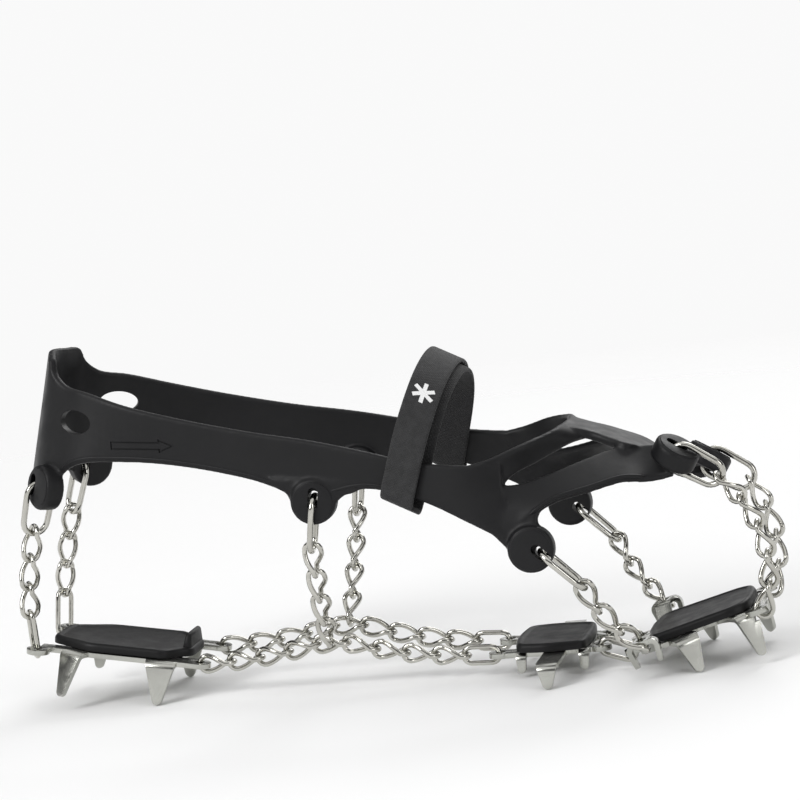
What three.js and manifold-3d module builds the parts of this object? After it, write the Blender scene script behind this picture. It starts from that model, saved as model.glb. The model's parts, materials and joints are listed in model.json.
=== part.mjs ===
// Slip-on chain crampon: an elastic rubber harness, an instep strap, and three spiked steel plates
// hung from the harness by eight chains. Millimetres, +X towards the toe, +Y to the wearer's left, +Z up.
// The plane of the lowest spike tips is z = 0.

import * as THREE from 'three';
import { mergeVertices } from 'three/addons/utils/BufferGeometryUtils.js';
import Module from 'manifold-3d';

const wasm = await Module();
wasm.setup();

// ---- driving dimensions ----------------------------------------------------------------------------

const FRAME_SHIFT = new THREE.Vector3(8.61, 0, 0.02); // puts the origin under the middle of the whole part

const RUBBER_WALL = 3.2; // thickness of the harness arms
const RUBBER_EDGE = 0.9; // chamfer along their edges
const LUG_RADIUS = 9.3;
const LUG_THICKNESS = 8;
const SLOT_WIDTH = 3.8; // the ring's wire has room to roll in it
const SLOT_LENGTH = 6.2;

const RING_WIRE = 2.5;
const RING_LENGTH = 25; // outside
const RING_TOP_RADIUS = 5.9; // wire centreline at the lug, wide enough to pass round it
const RING_BOTTOM_RADIUS = 5.4;

const LINK_WIRE = 2.1;
const LINK_LENGTH = 17; // outside
const LONG_LINK_LENGTH = 22.2; // the plain link at the heel plate
const LINK_WIDTH = 8.8; // outside
const LINK_PLAY = 0.35; // clearance where two links hook together
const HOOK_BEAD = 0.95; // radius of the beads that make a run of links one body
const QUARTER_TWIST = Math.PI / 2;

const SHEET = 2; // plate thickness
const FOLD_RADIUS = 2.4; // of the middle of the sheet
const EYE_HOLE = 1.75; // radius
const EYE_RADIUS = 4.8;
const PAD_THICKNESS = 3.4;
const TOE_TAB_WIDTH = 6.6;
const PAD_GAP = 0.3; // between a pad and its plate

const STRAP_WIDTH = 15.4;
const STRAP_THICKNESS = 1.8;

const WIRE_SIDES = 5;

const LINK_PITCH = LINK_LENGTH - 2 * LINK_WIRE - LINK_PLAY;
const LONG_LINK_PITCH = LONG_LINK_LENGTH - 2 * LINK_WIRE - LINK_PLAY;
const LINK_REACH = (LINK_WIRE + LINK_PLAY) / 2; // from a contact to the link's own end wire
const RING_REACH = (RING_WIRE + LINK_WIRE) / 2 + 0.6 - LINK_REACH;
const LINK_RADIUS = (LINK_WIDTH - LINK_WIRE) / 2;
const BAR_HANG = 3.05; // from the middle of a plate's bar, square to it, to the wire hooked round it

const SIDES = { right: -1, left: 1 };

// ---- materials -------------------------------------------------------------------------------------

const rubber = () => new THREE.MeshStandardMaterial({ color: 0x232325, roughness: 0.62, metalness: 0 });
const webbing = () => new THREE.MeshStandardMaterial({ color: 0x3a3a3b, roughness: 0.85, metalness: 0 });
const padRubber = () => new THREE.MeshStandardMaterial({ color: 0x0e0e10, roughness: 0.55, metalness: 0 });
const steel = () => new THREE.MeshStandardMaterial({ color: 0xb9bab2, roughness: 0.22, metalness: 1 });

// ---- small helpers ---------------------------------------------------------------------------------

const vec = (x, y, z) => new THREE.Vector3(x, y, z);
const UP = vec(0, 0, 1);
const sided = (v, side) => vec(v.x, v.y * -side, v.z); // points are given for the right side
const along = (p, direction, distance) => p.clone().addScaledVector(direction, distance);
const unit = (from, to) => to.clone().sub(from).normalize();
const smoothstep = (low, high, value) => THREE.MathUtils.smoothstep(value, low, high);

function perpendicular(v, direction) {
  return along(v, direction, -v.dot(direction)).normalize();
}

// The toe cap of a boot is lower on its outer side, so the front of the harness leans down to the left.
function leanToe(p) {
  const lean = smoothstep(80, 110, p.x) * smoothstep(-22, 22, p.y);
  return vec(p.x + 7.3 * lean, p.y, p.z - 9.6 * lean);
}

// ---- solids ----------------------------------------------------------------------------------------

function indexedGeometry(points, triangles) {
  const geometry = new THREE.BufferGeometry();
  const coordinates = points.flatMap((p) => [p.x, p.y, p.z]);
  geometry.setAttribute('position', new THREE.Float32BufferAttribute(coordinates, 3));
  geometry.setIndex(triangles);
  return geometry;
}

// Joins equal rings of points into one closed skin. An open loft gets a fan at each end.
function loft(sections, closed = false) {
  const count = sections[0].length;
  const triangles = [];
  const spans = closed ? sections.length : sections.length - 1;
  for (let i = 0; i < spans; i += 1) {
    const next = (i + 1) % sections.length;
    for (let j = 0; j < count; j += 1) {
      const k = (j + 1) % count;
      const a = i * count + j;
      const b = i * count + k;
      const c = next * count + k;
      const d = next * count + j;
      triangles.push(a, b, c, a, c, d);
    }
  }
  if (!closed) {
    const last = (sections.length - 1) * count;
    for (let j = 1; j < count - 1; j += 1) {
      triangles.push(0, j + 1, j);
      triangles.push(last, last + j, last + j + 1);
    }
  }
  return outward(indexedGeometry(sections.flat(), triangles));
}

// Turns the skin inside out if its enclosed volume comes out negative.
function outward(geometry) {
  const position = geometry.getAttribute('position');
  const index = geometry.getIndex().array;
  const corner = (i) => new THREE.Vector3().fromBufferAttribute(position, index[i]);
  let volume = 0;
  for (let i = 0; i < index.length; i += 3) {
    volume += corner(i).dot(corner(i + 1).cross(corner(i + 2)));
  }
  if (volume < 0) {
    geometry.setIndex(Array.from(index).reverse());
  }
  return geometry;
}

function solid(geometry) {
  const bare = geometry.clone();
  bare.deleteAttribute('normal');
  bare.deleteAttribute('uv');
  const merged = mergeVertices(bare, 1e-4);
  const mesh = new wasm.Mesh({
    numProp: 3,
    vertProperties: new Float32Array(merged.getAttribute('position').array),
    triVerts: new Uint32Array(merged.getIndex().array),
  });
  return new wasm.Manifold(mesh);
}

function geometryOf(manifold) {
  const mesh = manifold.getMesh();
  const geometry = new THREE.BufferGeometry();
  geometry.setAttribute('position', new THREE.Float32BufferAttribute(mesh.vertProperties, 3));
  geometry.setIndex(Array.from(mesh.triVerts));
  return geometry;
}

function union(geometries) {
  return geometries.map(solid).reduce((whole, piece) => whole.add(piece));
}

function subtract(whole, geometries) {
  return geometries.map(solid).reduce((rest, piece) => rest.subtract(piece), whole);
}

function placedMatrix(origin, xAxis, yAxis, zAxis) {
  return new THREE.Matrix4().makeBasis(xAxis, yAxis, zAxis).setPosition(origin);
}

// A disc with chamfered rims, its axis along `normal`.
function disc(centre, normal, radius, thickness, chamfer, sides = 24) {
  const side = perpendicular(Math.abs(normal.x) < 0.9 ? vec(1, 0, 0) : vec(0, 1, 0), normal);
  const other = normal.clone().cross(side);
  const ring = (r, h) => Array.from({ length: sides }, (_, i) => {
    const angle = (i / sides) * 2 * Math.PI;
    const rim = along(along(centre, side, r * Math.cos(angle)), other, r * Math.sin(angle));
    return along(rim, normal, h);
  });
  const half = thickness / 2;
  if (chamfer === 0) {
    return loft([ring(radius, -half), ring(radius, half)]);
  }
  return loft([
    ring(radius - chamfer, -half),
    ring(radius, chamfer - half),
    ring(radius, half - chamfer),
    ring(radius - chamfer, half),
  ]);
}

// A ribbon between two edges. Each station gives one point on either edge.
function ribbon(stations, thickness, chamfer, steps, reshape = (p) => p) {
  const edgeA = new THREE.CatmullRomCurve3(stations.map((s) => s[0]));
  const edgeB = new THREE.CatmullRomCurve3(stations.map((s) => s[1]));
  const middle = (t) => edgeA.getPoint(t).add(edgeB.getPoint(t)).multiplyScalar(0.5);
  const half = thickness / 2;
  const sections = [];
  for (let i = 0; i <= steps; i += 1) {
    const t = i / steps;
    const a = edgeA.getPoint(t);
    const b = edgeB.getPoint(t);
    const tangent = unit(middle(Math.max(0, t - 0.01)), middle(Math.min(1, t + 0.01)));
    const across = unit(b, a);
    const normal = across.clone().cross(tangent).normalize();
    const corner = (edge, inset, height) => along(along(edge, across, inset), normal, height);
    sections.push([
      corner(a, -chamfer, half),
      corner(a, 0, half - chamfer),
      corner(a, 0, chamfer - half),
      corner(a, -chamfer, -half),
      corner(b, chamfer, -half),
      corner(b, 0, chamfer - half),
      corner(b, 0, half - chamfer),
      corner(b, chamfer, half),
    ].map(reshape));
  }
  return loft(sections);
}

// ---- wire loops: rings and chain links -------------------------------------------------------------

// Centreline of a loop in its own frame: it hangs along -Z from its middle, `twist` turns its lower end
// about Z from its upper end. The two ends are arcs joined by straight tangents.
function loopPath(length, topRadius, bottomRadius, twist, arcSteps = 4) {
  const reach = length - topRadius - bottomRadius;
  const slope = Math.asin((topRadius - bottomRadius) / reach);
  const topCentre = length / 2 - topRadius;
  const bottomCentre = bottomRadius - length / 2;
  const points = [];
  for (let i = 0; i <= arcSteps; i += 1) {
    const angle = slope * -1 + (i / arcSteps) * (Math.PI + 2 * slope);
    points.push([topRadius * Math.cos(angle), topCentre + topRadius * Math.sin(angle)]);
  }
  const midway = (from, to) => [(from[0] + to[0]) / 2, (from[1] + to[1]) / 2];
  const lower = [];
  for (let i = 0; i <= arcSteps; i += 1) {
    const angle = Math.PI + slope + (i / arcSteps) * (Math.PI - 2 * slope);
    lower.push([bottomRadius * Math.cos(angle), bottomCentre + bottomRadius * Math.sin(angle)]);
  }
  points.push(midway(points[arcSteps], lower[0]));
  points.push(...lower);
  points.push(midway(lower[arcSteps], points[0]));
  return points.map(([across, height]) => {
    const angle = twist * THREE.MathUtils.clamp(0.5 - height / (length - 2 * bottomRadius), 0, 1);
    const centre = vec(0, 0, THREE.MathUtils.clamp(height, bottomCentre, topCentre));
    return { point: vec(across * Math.cos(angle), across * Math.sin(angle), height), centre };
  });
}

function wireLoop(path, wire) {
  const count = path.length;
  const sections = path.map(({ point, centre }, i) => {
    const before = path[(i + count - 1) % count].point;
    const after = path[(i + 1) % count].point;
    const tangent = unit(before, after);
    const out = perpendicular(point.clone().sub(centre), tangent);
    const side = tangent.clone().cross(out);
    return Array.from({ length: WIRE_SIDES }, (_, j) => {
      const angle = ((j + 0.5) / WIRE_SIDES) * 2 * Math.PI;
      return along(along(point, out, (wire / 2) * Math.cos(angle)), side, (wire / 2) * Math.sin(angle));
    });
  });
  return loft(sections, true);
}

const ringGeometry = wireLoop(
  loopPath(RING_LENGTH - RING_WIRE, RING_TOP_RADIUS, RING_BOTTOM_RADIUS, 0),
  RING_WIRE,
);

function linkGeometry(length, twist) {
  return wireLoop(loopPath(length - LINK_WIRE, LINK_RADIUS, LINK_RADIUS, twist), LINK_WIRE);
}

// Frame of a loop that hangs from `top` to `bottom`, with its upper bend opening along `lateral`.
function loopFrame(top, bottom, lateral) {
  const down = unit(top, bottom);
  const x = perpendicular(lateral, down);
  const z = down.clone().negate();
  return placedMatrix(top.clone().add(bottom).multiplyScalar(0.5), x, z.clone().cross(x), z);
}

// ---- the model -------------------------------------------------------------------------------------

const crampon = new THREE.Group();

function addPiece(name, geometry, material, matrix = new THREE.Matrix4()) {
  const mesh = new THREE.Mesh(geometry, material);
  mesh.name = name;
  mesh.applyMatrix4(matrix);
  crampon.add(mesh);
}

// ---- harness ---------------------------------------------------------------------------------------

// Every list below is for the right side: upper edge, lower edge.
const ARM = [
  [vec(47, -41.5, 91.5), vec(47, -50, 62)],
  [vec(31, -44, 92.5), vec(33, -48.5, 70)],
  [vec(12, -43.5, 95.5), vec(15, -46, 79.5)],
  [vec(-8, -42, 101.3), vec(-7, -43.5, 86)],
  [vec(-30, -39.8, 107), vec(-31, -41.5, 84)],
  [vec(-54, -38, 112.1), vec(-56, -39, 93)],
  [vec(-83, -36, 119.5), vec(-85, -36.8, 100.3)],
  [vec(-106, -33.5, 126.4), vec(-109, -35, 103.6)],
  [vec(-123, -28, 132.5), vec(-131, -32.5, 103.5)],
  [vec(-133.5, -22.5, 135.8), vec(-147, -26, 93.5)],
  [vec(-138.3, -19.5, 141), vec(-151.5, -21, 94)],
  [vec(-139.5, -17, 146.5), vec(-154, -16, 95.5)],
  [vec(-142.3, -9, 147.9), vec(-156.3, -8.5, 98.5)],
];
const HEEL_MIDDLE = [vec(-144.6, 0, 148.7), vec(-157.3, 0, 100)];
const UPPER_BRANCH = [
  [vec(33, -43.5, 92), vec(42, -45.5, 75)],
  [vec(43, -42.5, 94), vec(49, -38.5, 85)],
  [vec(54, -37, 97.3), vec(58.5, -29, 89)],
  [vec(62.5, -25.5, 99.6), vec(69, -18, 92.8)],
  [vec(66.3, -12, 100.3), vec(76, -9, 94.3)],
];
const SADDLE_MIDDLE = [vec(66.8, 0, 99.8), vec(78, 0, 95)];
const LOWER_BRANCH = [
  [vec(40, -44.5, 84), vec(46, -49, 62)],
  [vec(52, -41, 82.5), vec(58, -48.5, 70.5)],
  [vec(62, -36, 83.8), vec(67, -45.5, 75)],
  [vec(75, -27.5, 87), vec(81, -40.5, 77.7)],
  [vec(88, -17, 89.5), vec(93, -34, 79.5)],
  [vec(99, -12, 90), vec(103, -28, 77.8)],
  [vec(111, -15, 89.8), vec(112, -27, 79)],
];
const TOE_BAR = [
  [vec(68, -13, 98.5), vec(68, 13, 98.5)],
  [vec(78, -11.5, 95.3), vec(78, 11.5, 95.3)],
  [vec(86, -15, 92.5), vec(86, 15, 92.5)],
  [vec(93, -19, 90.5), vec(93, 19, 90.5)],
];
// Webs that widen the arm into its middle and ball lugs: rear edge, front edge, from the top down.
const WEBS = [
  [
    [vec(-48.1, -40.5, 93.2), vec(-8, -43, 88.8)],
    [vec(-45.5, -41, 89.7), vec(-11.1, -43, 85.6)],
    [vec(-41.3, -41, 86.7), vec(-16.9, -42, 84.1)],
    [vec(-39.8, -41, 83.1), vec(-20.9, -41.5, 81.2)],
    [vec(-39, -41, 79.9), vec(-23.7, -41, 77.4)],
  ],
  [
    [vec(36.6, -47, 72.8), vec(64.6, -46, 75.2)],
    [vec(40.3, -48.7, 66.8), vec(61.3, -47.5, 71.8)],
    [vec(43.6, -49.4, 63.1), vec(60.4, -48.6, 68.9)],
    [vec(46.8, -49.8, 59.4), vec(62.1, -49.4, 65.3)],
    [vec(49.9, -49.8, 54.8), vec(64.9, -49.6, 61.9)],
  ],
];
const HEEL_WINDOW = { centre: vec(-129.3, -30, 121.2), length: 16, height: 9.2 };

const mirrored = (station) => station.map((p) => sided(p, SIDES.left));
const acrossMiddle = (stations, middle) => [
  ...stations,
  middle,
  ...stations.map(mirrored).reverse(),
];

// ringTop and ringEnd: centres of the ring's wire in the lug's slot and at the first link.
// lugInset and lugForward: how far down the ring, and forward of it, the lug's centre lies. face: the
// lug's outer face looks this way.
const DROPS = {
  heel: {
    ringTop: vec(-147.8, -26.6, 97.4), ringEnd: vec(-155.2, -25, 75.2), lugInset: 1.2, lugForward: 4,
    face: vec(-0.72, -0.7, 0),
  },
  middle: {
    ringTop: vec(-29.8, -40.5, 85), ringEnd: vec(-33.4, -41, 63.1), lugInset: 2.5,
    face: vec(0.05, -1, 0.05),
  },
  ball: {
    ringTop: vec(60, -49.7, 57.4), ringEnd: vec(75.8, -49.3, 41.6), lugInset: -2.9, lugForward: -1.5,
    face: vec(0.05, -1, 0),
  },
  toe: {
    ringTop: vec(111, -22, 87.8), ringEnd: vec(130, -22, 75.7), lugInset: 2.2,
    face: vec(0.42, -0.22, 0.88),
  },
};

function dropFrame(place, side) {
  const settle = (p) => leanToe(sided(p, side));
  const drop = DROPS[place];
  const ringTop = settle(drop.ringTop);
  const ringDown = unit(ringTop, settle(drop.ringEnd));
  const face = perpendicular(sided(drop.face, side), ringDown);
  const forward = face.clone().cross(ringDown).multiplyScalar(-side);
  return {
    ringTop,
    ringDown,
    ringEnd: along(ringTop, ringDown, RING_LENGTH - RING_WIRE),
    face,
    lug: along(along(ringTop, ringDown, drop.lugInset), forward, drop.lugForward ?? 0),
  };
}

function slotCut({ ringTop, ringDown, face }) {
  const box = new THREE.BoxGeometry(SLOT_WIDTH, SLOT_LENGTH, 3 * LUG_THICKNESS);
  const middle = along(ringTop, ringDown, SLOT_LENGTH / 2 - RING_WIRE / 2 - 0.5);
  const y = ringDown.clone();
  return box.applyMatrix4(placedMatrix(middle, y.clone().cross(face), y, face));
}

function heelWindowCut(side) {
  const { centre, length, height } = HEEL_WINDOW;
  const face = sided(vec(-0.35, -1, 0.1), side).normalize();
  const forward = perpendicular(vec(1, 0, -0.2), face);
  const hole = disc(vec(0, 0, 0), UP, height / 2, 24, 0, 16);
  hole.scale(length / height, 1, 1);
  return hole.applyMatrix4(placedMatrix(sided(centre, side), forward, face.clone().cross(forward), face));
}

function harnessGeometry() {
  const bands = [
    ribbon(acrossMiddle(ARM, HEEL_MIDDLE), RUBBER_WALL, RUBBER_EDGE, 44),
    ribbon(acrossMiddle(UPPER_BRANCH, SADDLE_MIDDLE), RUBBER_WALL, RUBBER_EDGE, 20),
    ribbon(TOE_BAR, RUBBER_WALL + 0.6, RUBBER_EDGE, 6, leanToe),
  ];
  const cuts = [];
  for (const side of Object.values(SIDES)) {
    const onSide = (stations) => (side === SIDES.left ? stations.map(mirrored) : stations);
    bands.push(ribbon(onSide(LOWER_BRANCH), RUBBER_WALL, RUBBER_EDGE, 10, leanToe));
    WEBS.forEach((web) => bands.push(ribbon(onSide(web), RUBBER_WALL, RUBBER_EDGE, 6)));
    for (const place of Object.keys(DROPS)) {
      const frame = dropFrame(place, side);
      bands.push(disc(frame.lug, frame.face, LUG_RADIUS, LUG_THICKNESS, 0.9, 18));
      cuts.push(slotCut(frame));
    }
    cuts.push(heelWindowCut(side));
  }
  return geometryOf(subtract(union(bands), cuts));
}

addPiece('harness', harnessGeometry(), rubber());

// ---- where the plates lie and the chains meet them -------------------------------------------------

const PLATES = {
  heel: { centre: vec(-128, 0, 20.1), pitch: 9.7 },
  ball: { centre: vec(53, 0, 9), pitch: 0 },
  toe: { centre: vec(112, 0, 13.9), pitch: -15.6 },
};
const plateMatrix = ({ centre, pitch }) => new THREE.Matrix4()
  .makeRotationY(THREE.MathUtils.degToRad(pitch))
  .setPosition(centre);

// Eyes in each plate's own plane, on the right side. `bar` is the direction from the hole to the strip of
// sheet that the link is hooked round. The toe plate's side eye sits on a tab raised by `rise`.
const EYES = {
  heelRear: { plate: 'heel', x: -33.6, y: -21.4, bar: vec(-0.588, 0.809, 0) },
  heelFront: { plate: 'heel', x: 34.8, y: -16.5, hole: 2.25, bar: vec(1, 0, 0) },
  ballRear: { plate: 'ball', x: -20.6, y: -12.5, hole: 2.05, bar: vec(-1, 0, 0) },
  ballFront: { plate: 'ball', x: 20, y: -11, bar: vec(1, 0, 0) },
  toeRear: { plate: 'toe', x: -25.3, y: -11, hole: 2.3, bar: vec(-1, 0, 0) },
  toeSide: { plate: 'toe', x: -16.7, y: -37.6, rise: 6.4, hole: 2.15, bar: vec(0, -1, 0) },
  toeFront: { plate: 'toe', x: 27.4, y: -20, hole: 2.45, bar: vec(1, 0, 0) },
};
const BAR_INSET = (EYE_HOLE + EYE_RADIUS) / 2; // from the hole's centre to the middle of the bar
const WIRE_INSET = EYE_HOLE - LINK_PLAY - LINK_WIRE / 2; // from the hole's centre to a flat link's wire

const plateUp = (plate) => UP.clone().transformDirection(plateMatrix(PLATES[plate]));

function eyePoint(name, side, inset) {
  const { plate, x, y, rise = 0, bar } = EYES[name];
  return sided(along(vec(x, y, rise), bar, inset), side).applyMatrix4(plateMatrix(PLATES[plate]));
}

// ---- chains ----------------------------------------------------------------------------------------

// Points on a circular arc of the given length between two ends, at the given fractions of it. The arc
// bulges towards `bulge`; its length is set by the links, the ends by the lug and the plate.
function arcPoints(from, to, arcLength, bulge, fractions) {
  const chord = from.distanceTo(to);
  if (arcLength < chord) {
    throw new Error(`a chain of ${arcLength.toFixed(2)} can't span ${chord.toFixed(2)}`);
  }
  let low = 1e-4;
  let high = Math.PI;
  for (let i = 0; i < 60; i += 1) {
    const half = (low + high) / 2;
    if (Math.sin(half) / half > chord / arcLength) {
      low = half;
    } else {
      high = half;
    }
  }
  const radius = arcLength / (2 * low);
  const forward = unit(from, to);
  const out = perpendicular(bulge, forward);
  const centre = along(from.clone().add(to).multiplyScalar(0.5), out, -radius * Math.cos(low));
  return fractions.map((fraction) => {
    const angle = (2 * fraction - 1) * low;
    return along(along(centre, forward, radius * Math.sin(angle)), out, radius * Math.cos(angle));
  });
}

// Contacts between links, from the ring to the plate, for links of the given pitches.
function contacts(from, to, pitches, bulge) {
  const total = pitches.reduce((sum, pitch) => sum + pitch, 0);
  let reached = 0;
  const fractions = [0, ...pitches.map((pitch) => (reached += pitch) / total)];
  return arcPoints(from, to, total, bulge, fractions);
}

const short = (count) => Array(count).fill(LINK_PITCH);
// The left toe lug sits lower, so its chain is a link shorter.
const CHAINS = {
  heel: { eye: 'heelRear', bulge: vec(-1, -1, 0), pitches: [...short(3), LONG_LINK_PITCH], plainLast: true },
  middle: { bulge: vec(0, -1, 0.3), pitches: short(4) },
  ball: { eye: 'toeSide', bulge: vec(-1, 0, -1), pitches: short(3) },
  toe: { eye: 'toeFront', bulge: vec(1, 0, 0.2), pitches: short(5), leftPitches: short(4) },
};

// The middle chain hooks round one leg of a link of the chain that runs between the plates.
const JUNCTION = { centre: vec(-36.5, -16.5, 19.2), leg: vec(0, -1, 1).normalize() };
const HOOK_REACH = LINK_WIRE + LINK_PLAY - LINK_REACH;

const shortLink = linkGeometry(LINK_LENGTH, QUARTER_TWIST);
const shortLinkMirrored = outward(shortLink.clone().scale(1, -1, 1));
const plainLink = linkGeometry(LINK_LENGTH, 0);
const longLink = linkGeometry(LONG_LINK_LENGTH, 0);

// A link between two contacts. Its lower bend opens along `face`, and a twisted one's upper bend across it.
function linkMatrix(from, to, face, twist) {
  const down = unit(from, to);
  const upper = perpendicular(face, down).applyAxisAngle(down, twist);
  return loopFrame(along(from, down, -LINK_REACH), along(to, down, LINK_REACH), upper);
}

// How far past the middle of a plate's bar a chain's last contact lies, when the chain arrives slanting.
function barReach(plate, arrival) {
  return BAR_HANG / -arrival.dot(plateUp(plate)) - LINK_REACH;
}

function hangingChain(place, side, sideName) {
  const chain = CHAINS[place];
  const frame = dropFrame(place, side);
  const ringMatrix = loopFrame(frame.ringTop, frame.ringEnd, frame.face);
  addPiece(`ring_${place}_${sideName}`, ringGeometry, steel(), ringMatrix);

  const pitches = side === SIDES.left && chain.leftPitches ? chain.leftPitches : chain.pitches;
  const start = along(frame.ringEnd, frame.ringDown, -RING_REACH);
  const hooked = chain.eye
    ? eyePoint(chain.eye, side, BAR_INSET)
    : sided(along(JUNCTION.centre, JUNCTION.leg, LINK_RADIUS), side);
  const endFace = sided(chain.eye ? EYES[chain.eye].bar : JUNCTION.leg.clone().cross(vec(1, 0, 0)), side);
  let points = [start, hooked];
  for (let pass = 0; pass < 6; pass += 1) {
    const arrival = unit(points[points.length - 2], points[points.length - 1]);
    const reach = chain.eye ? barReach(EYES[chain.eye].plate, arrival) : HOOK_REACH;
    points = contacts(start, along(hooked, arrival, reach), pitches, sided(chain.bulge, side));
  }
  const facing = frame.face.dot(endFace) < 0 ? endFace.negate() : endFace;
  pitches.forEach((_, i) => {
    const last = i === pitches.length - 1;
    const name = `link_${place}_${sideName}_${i + 1}`;
    if (chain.plainLast && last) {
      addPiece(name, longLink, steel(), linkMatrix(points[i], points[i + 1], endFace, 0));
      return;
    }
    const goal = chain.plainLast ? unit(points[i], points[i + 1]).cross(endFace) : facing;
    const target = frame.face.dot(goal) < 0 ? goal.clone().negate() : goal;
    const face = frame.face.clone().lerp(target, (i + 1) / pitches.length);
    const geometry = side === SIDES.left ? shortLinkMirrored : shortLink;
    addPiece(name, geometry, steel(), linkMatrix(points[i], points[i + 1], face, side * -QUARTER_TWIST));
  });
}

// The chain between the heel and ball plates: four links, the junction link, then five links.
const REAR_LINKS = 4;
const FRONT_LINKS = 5;

// Makes a run of links one body, with a bead between the wires at every hook.
function fusedLinks(matrices, geometries, hooks) {
  const links = matrices.map((matrix, i) => geometries[i].clone().applyMatrix4(matrix));
  const beads = hooks.map(({ x, y, z }) => new THREE.OctahedronGeometry(HOOK_BEAD).translate(x, y, z));
  return geometryOf(union([...links, ...beads]));
}

function groundChain(side, sideName) {
  const junction = sided(JUNCTION.centre, side);
  const rearEye = eyePoint('heelFront', side, WIRE_INSET);
  const frontEye = eyePoint('ballRear', side, WIRE_INSET);
  const rearRun = unit(junction, rearEye);
  const frontRun = unit(junction, frontEye);
  const axis = frontRun.clone().sub(rearRun).normalize();
  const rearStart = along(junction, axis, -LINK_PITCH / 2);
  const frontStart = along(junction, axis, LINK_PITCH / 2);
  const slack = vec(0, 0, -1);
  const rear = contacts(along(rearEye, rearRun, -LINK_REACH), rearStart, short(REAR_LINKS), slack);
  const front = contacts(frontStart, along(frontEye, frontRun, -LINK_REACH), short(FRONT_LINKS), slack);
  const twist = side * QUARTER_TWIST;
  const flat = vec(0, 1, 0);
  const twisted = side === SIDES.left ? shortLink : shortLinkMirrored;
  const run = (points) => points.slice(1).map((p, i) => linkMatrix(points[i], p, flat, twist));
  const rearMatrices = run(rear);
  const frontMatrices = run(front);
  const last = front.length - 1;
  frontMatrices[last - 1] = linkMatrix(front[last - 1], front[last], UP, 0);
  const frontGeometries = frontMatrices.map((_, i) => (i === last - 1 ? plainLink : twisted));
  const rearRunLinks = fusedLinks(rearMatrices, rearMatrices.map(() => twisted), rear.slice(1, -1));
  addPiece(`ground_chain_rear_${sideName}`, rearRunLinks, steel());
  addPiece(`junction_link_${sideName}`, twisted, steel(), linkMatrix(rearStart, frontStart, flat, twist));
  const frontRunLinks = fusedLinks(frontMatrices, frontGeometries, front.slice(1, -1));
  addPiece(`ground_chain_front_${sideName}`, frontRunLinks, steel());
}

function plateLink(side, sideName) {
  const from = eyePoint('ballFront', side, BAR_INSET);
  const to = eyePoint('toeRear', side, BAR_INSET);
  addPiece(`plate_link_${sideName}`, plainLink, steel(), loopFrame(from, to, UP));
}

for (const [sideName, side] of Object.entries(SIDES)) {
  for (const place of Object.keys(CHAINS)) {
    hangingChain(place, side, sideName);
  }
  groundChain(side, sideName);
  plateLink(side, sideName);
}

// ---- plates ----------------------------------------------------------------------------------------

// A strip of sheet that leaves a plate at `root` and folds. `out` points away from the plate, `normal`
// is the plate's upper side, and a positive `fold` bends the strip down. Widths run from root to tip.
function foldedStrip({ root, out, width, tipWidth, fold, length, tail = 3 }) {
  const normal = UP;
  const across = out.clone().cross(normal).normalize();
  const arcSteps = 3;
  const arcLength = FOLD_RADIUS * Math.abs(fold);
  const total = arcLength + length;
  const turn = (angle) => along(out.clone().multiplyScalar(Math.cos(angle)), normal, -Math.sin(angle));
  const stations = [{ centre: along(root, out, -tail), angle: 0, width }];
  let centre = root.clone();
  for (let i = 0; i <= arcSteps; i += 1) {
    const angle = (fold * i) / arcSteps;
    if (i > 0) {
      centre = along(centre, turn(angle - fold / (2 * arcSteps)), arcLength / arcSteps);
    }
    const share = (arcLength * i) / arcSteps / total;
    stations.push({ centre, angle, width: THREE.MathUtils.lerp(width, tipWidth, share) });
  }
  const tipRound = tipWidth / 2;
  for (const distance of [length - tipRound, length - tipRound * 0.4, length]) {
    const past = Math.max(0, distance - (length - tipRound)) / tipRound;
    const rounding = Math.sqrt(Math.max(0.12, 1 - past * past));
    const stationWidth = THREE.MathUtils.lerp(width, tipWidth, (arcLength + distance) / total) * rounding;
    stations.push({ centre: along(centre, turn(fold), distance), angle: fold, width: stationWidth });
  }
  return loft(stations.map(({ centre: c, angle, width: w }) => {
    const up = turn(angle + Math.PI / 2).negate();
    const corner = (sx, sz) => along(along(c, across, (sx * w) / 2), up, (sz * SHEET) / 2);
    return [corner(-1, -1), corner(1, -1), corner(1, 1), corner(-1, 1)];
  }));
}

// A flat plate from an outline in its own plane.
function flatPlate(outline, thickness) {
  const shape = new THREE.Shape(outline.map(([x, y]) => new THREE.Vector2(x, y)));
  const geometry = new THREE.ExtrudeGeometry(shape, { depth: thickness, bevelEnabled: false });
  return geometry.translate(0, 0, -thickness / 2);
}

// Mirrors the right half of an outline, listed from front to back with negative y, into a whole one.
const wholeOutline = (half) => [...half, ...half.map(([x, y]) => [x, -y]).reverse()];

const lightening = (x) => disc(vec(x, 0, 0), UP, 7, 4 * SHEET, 0, 14);

// Adds an eye and the stem that joins it to its plate.
function addEye(bodies, cuts, name, side, stem) {
  const { x, y, hole = EYE_HOLE } = EYES[name];
  const centre = sided(vec(x, y, 0), side);
  const [width, length, stemX, stemY] = stem;
  bodies.push(new THREE.BoxGeometry(length, width, SHEET).translate(stemX, stemY * -side, 0));
  bodies.push(disc(centre, UP, EYE_RADIUS, SHEET, 0, 14));
  cuts.push(disc(centre, UP, hole, 4 * SHEET, 0, 10));
}

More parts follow.
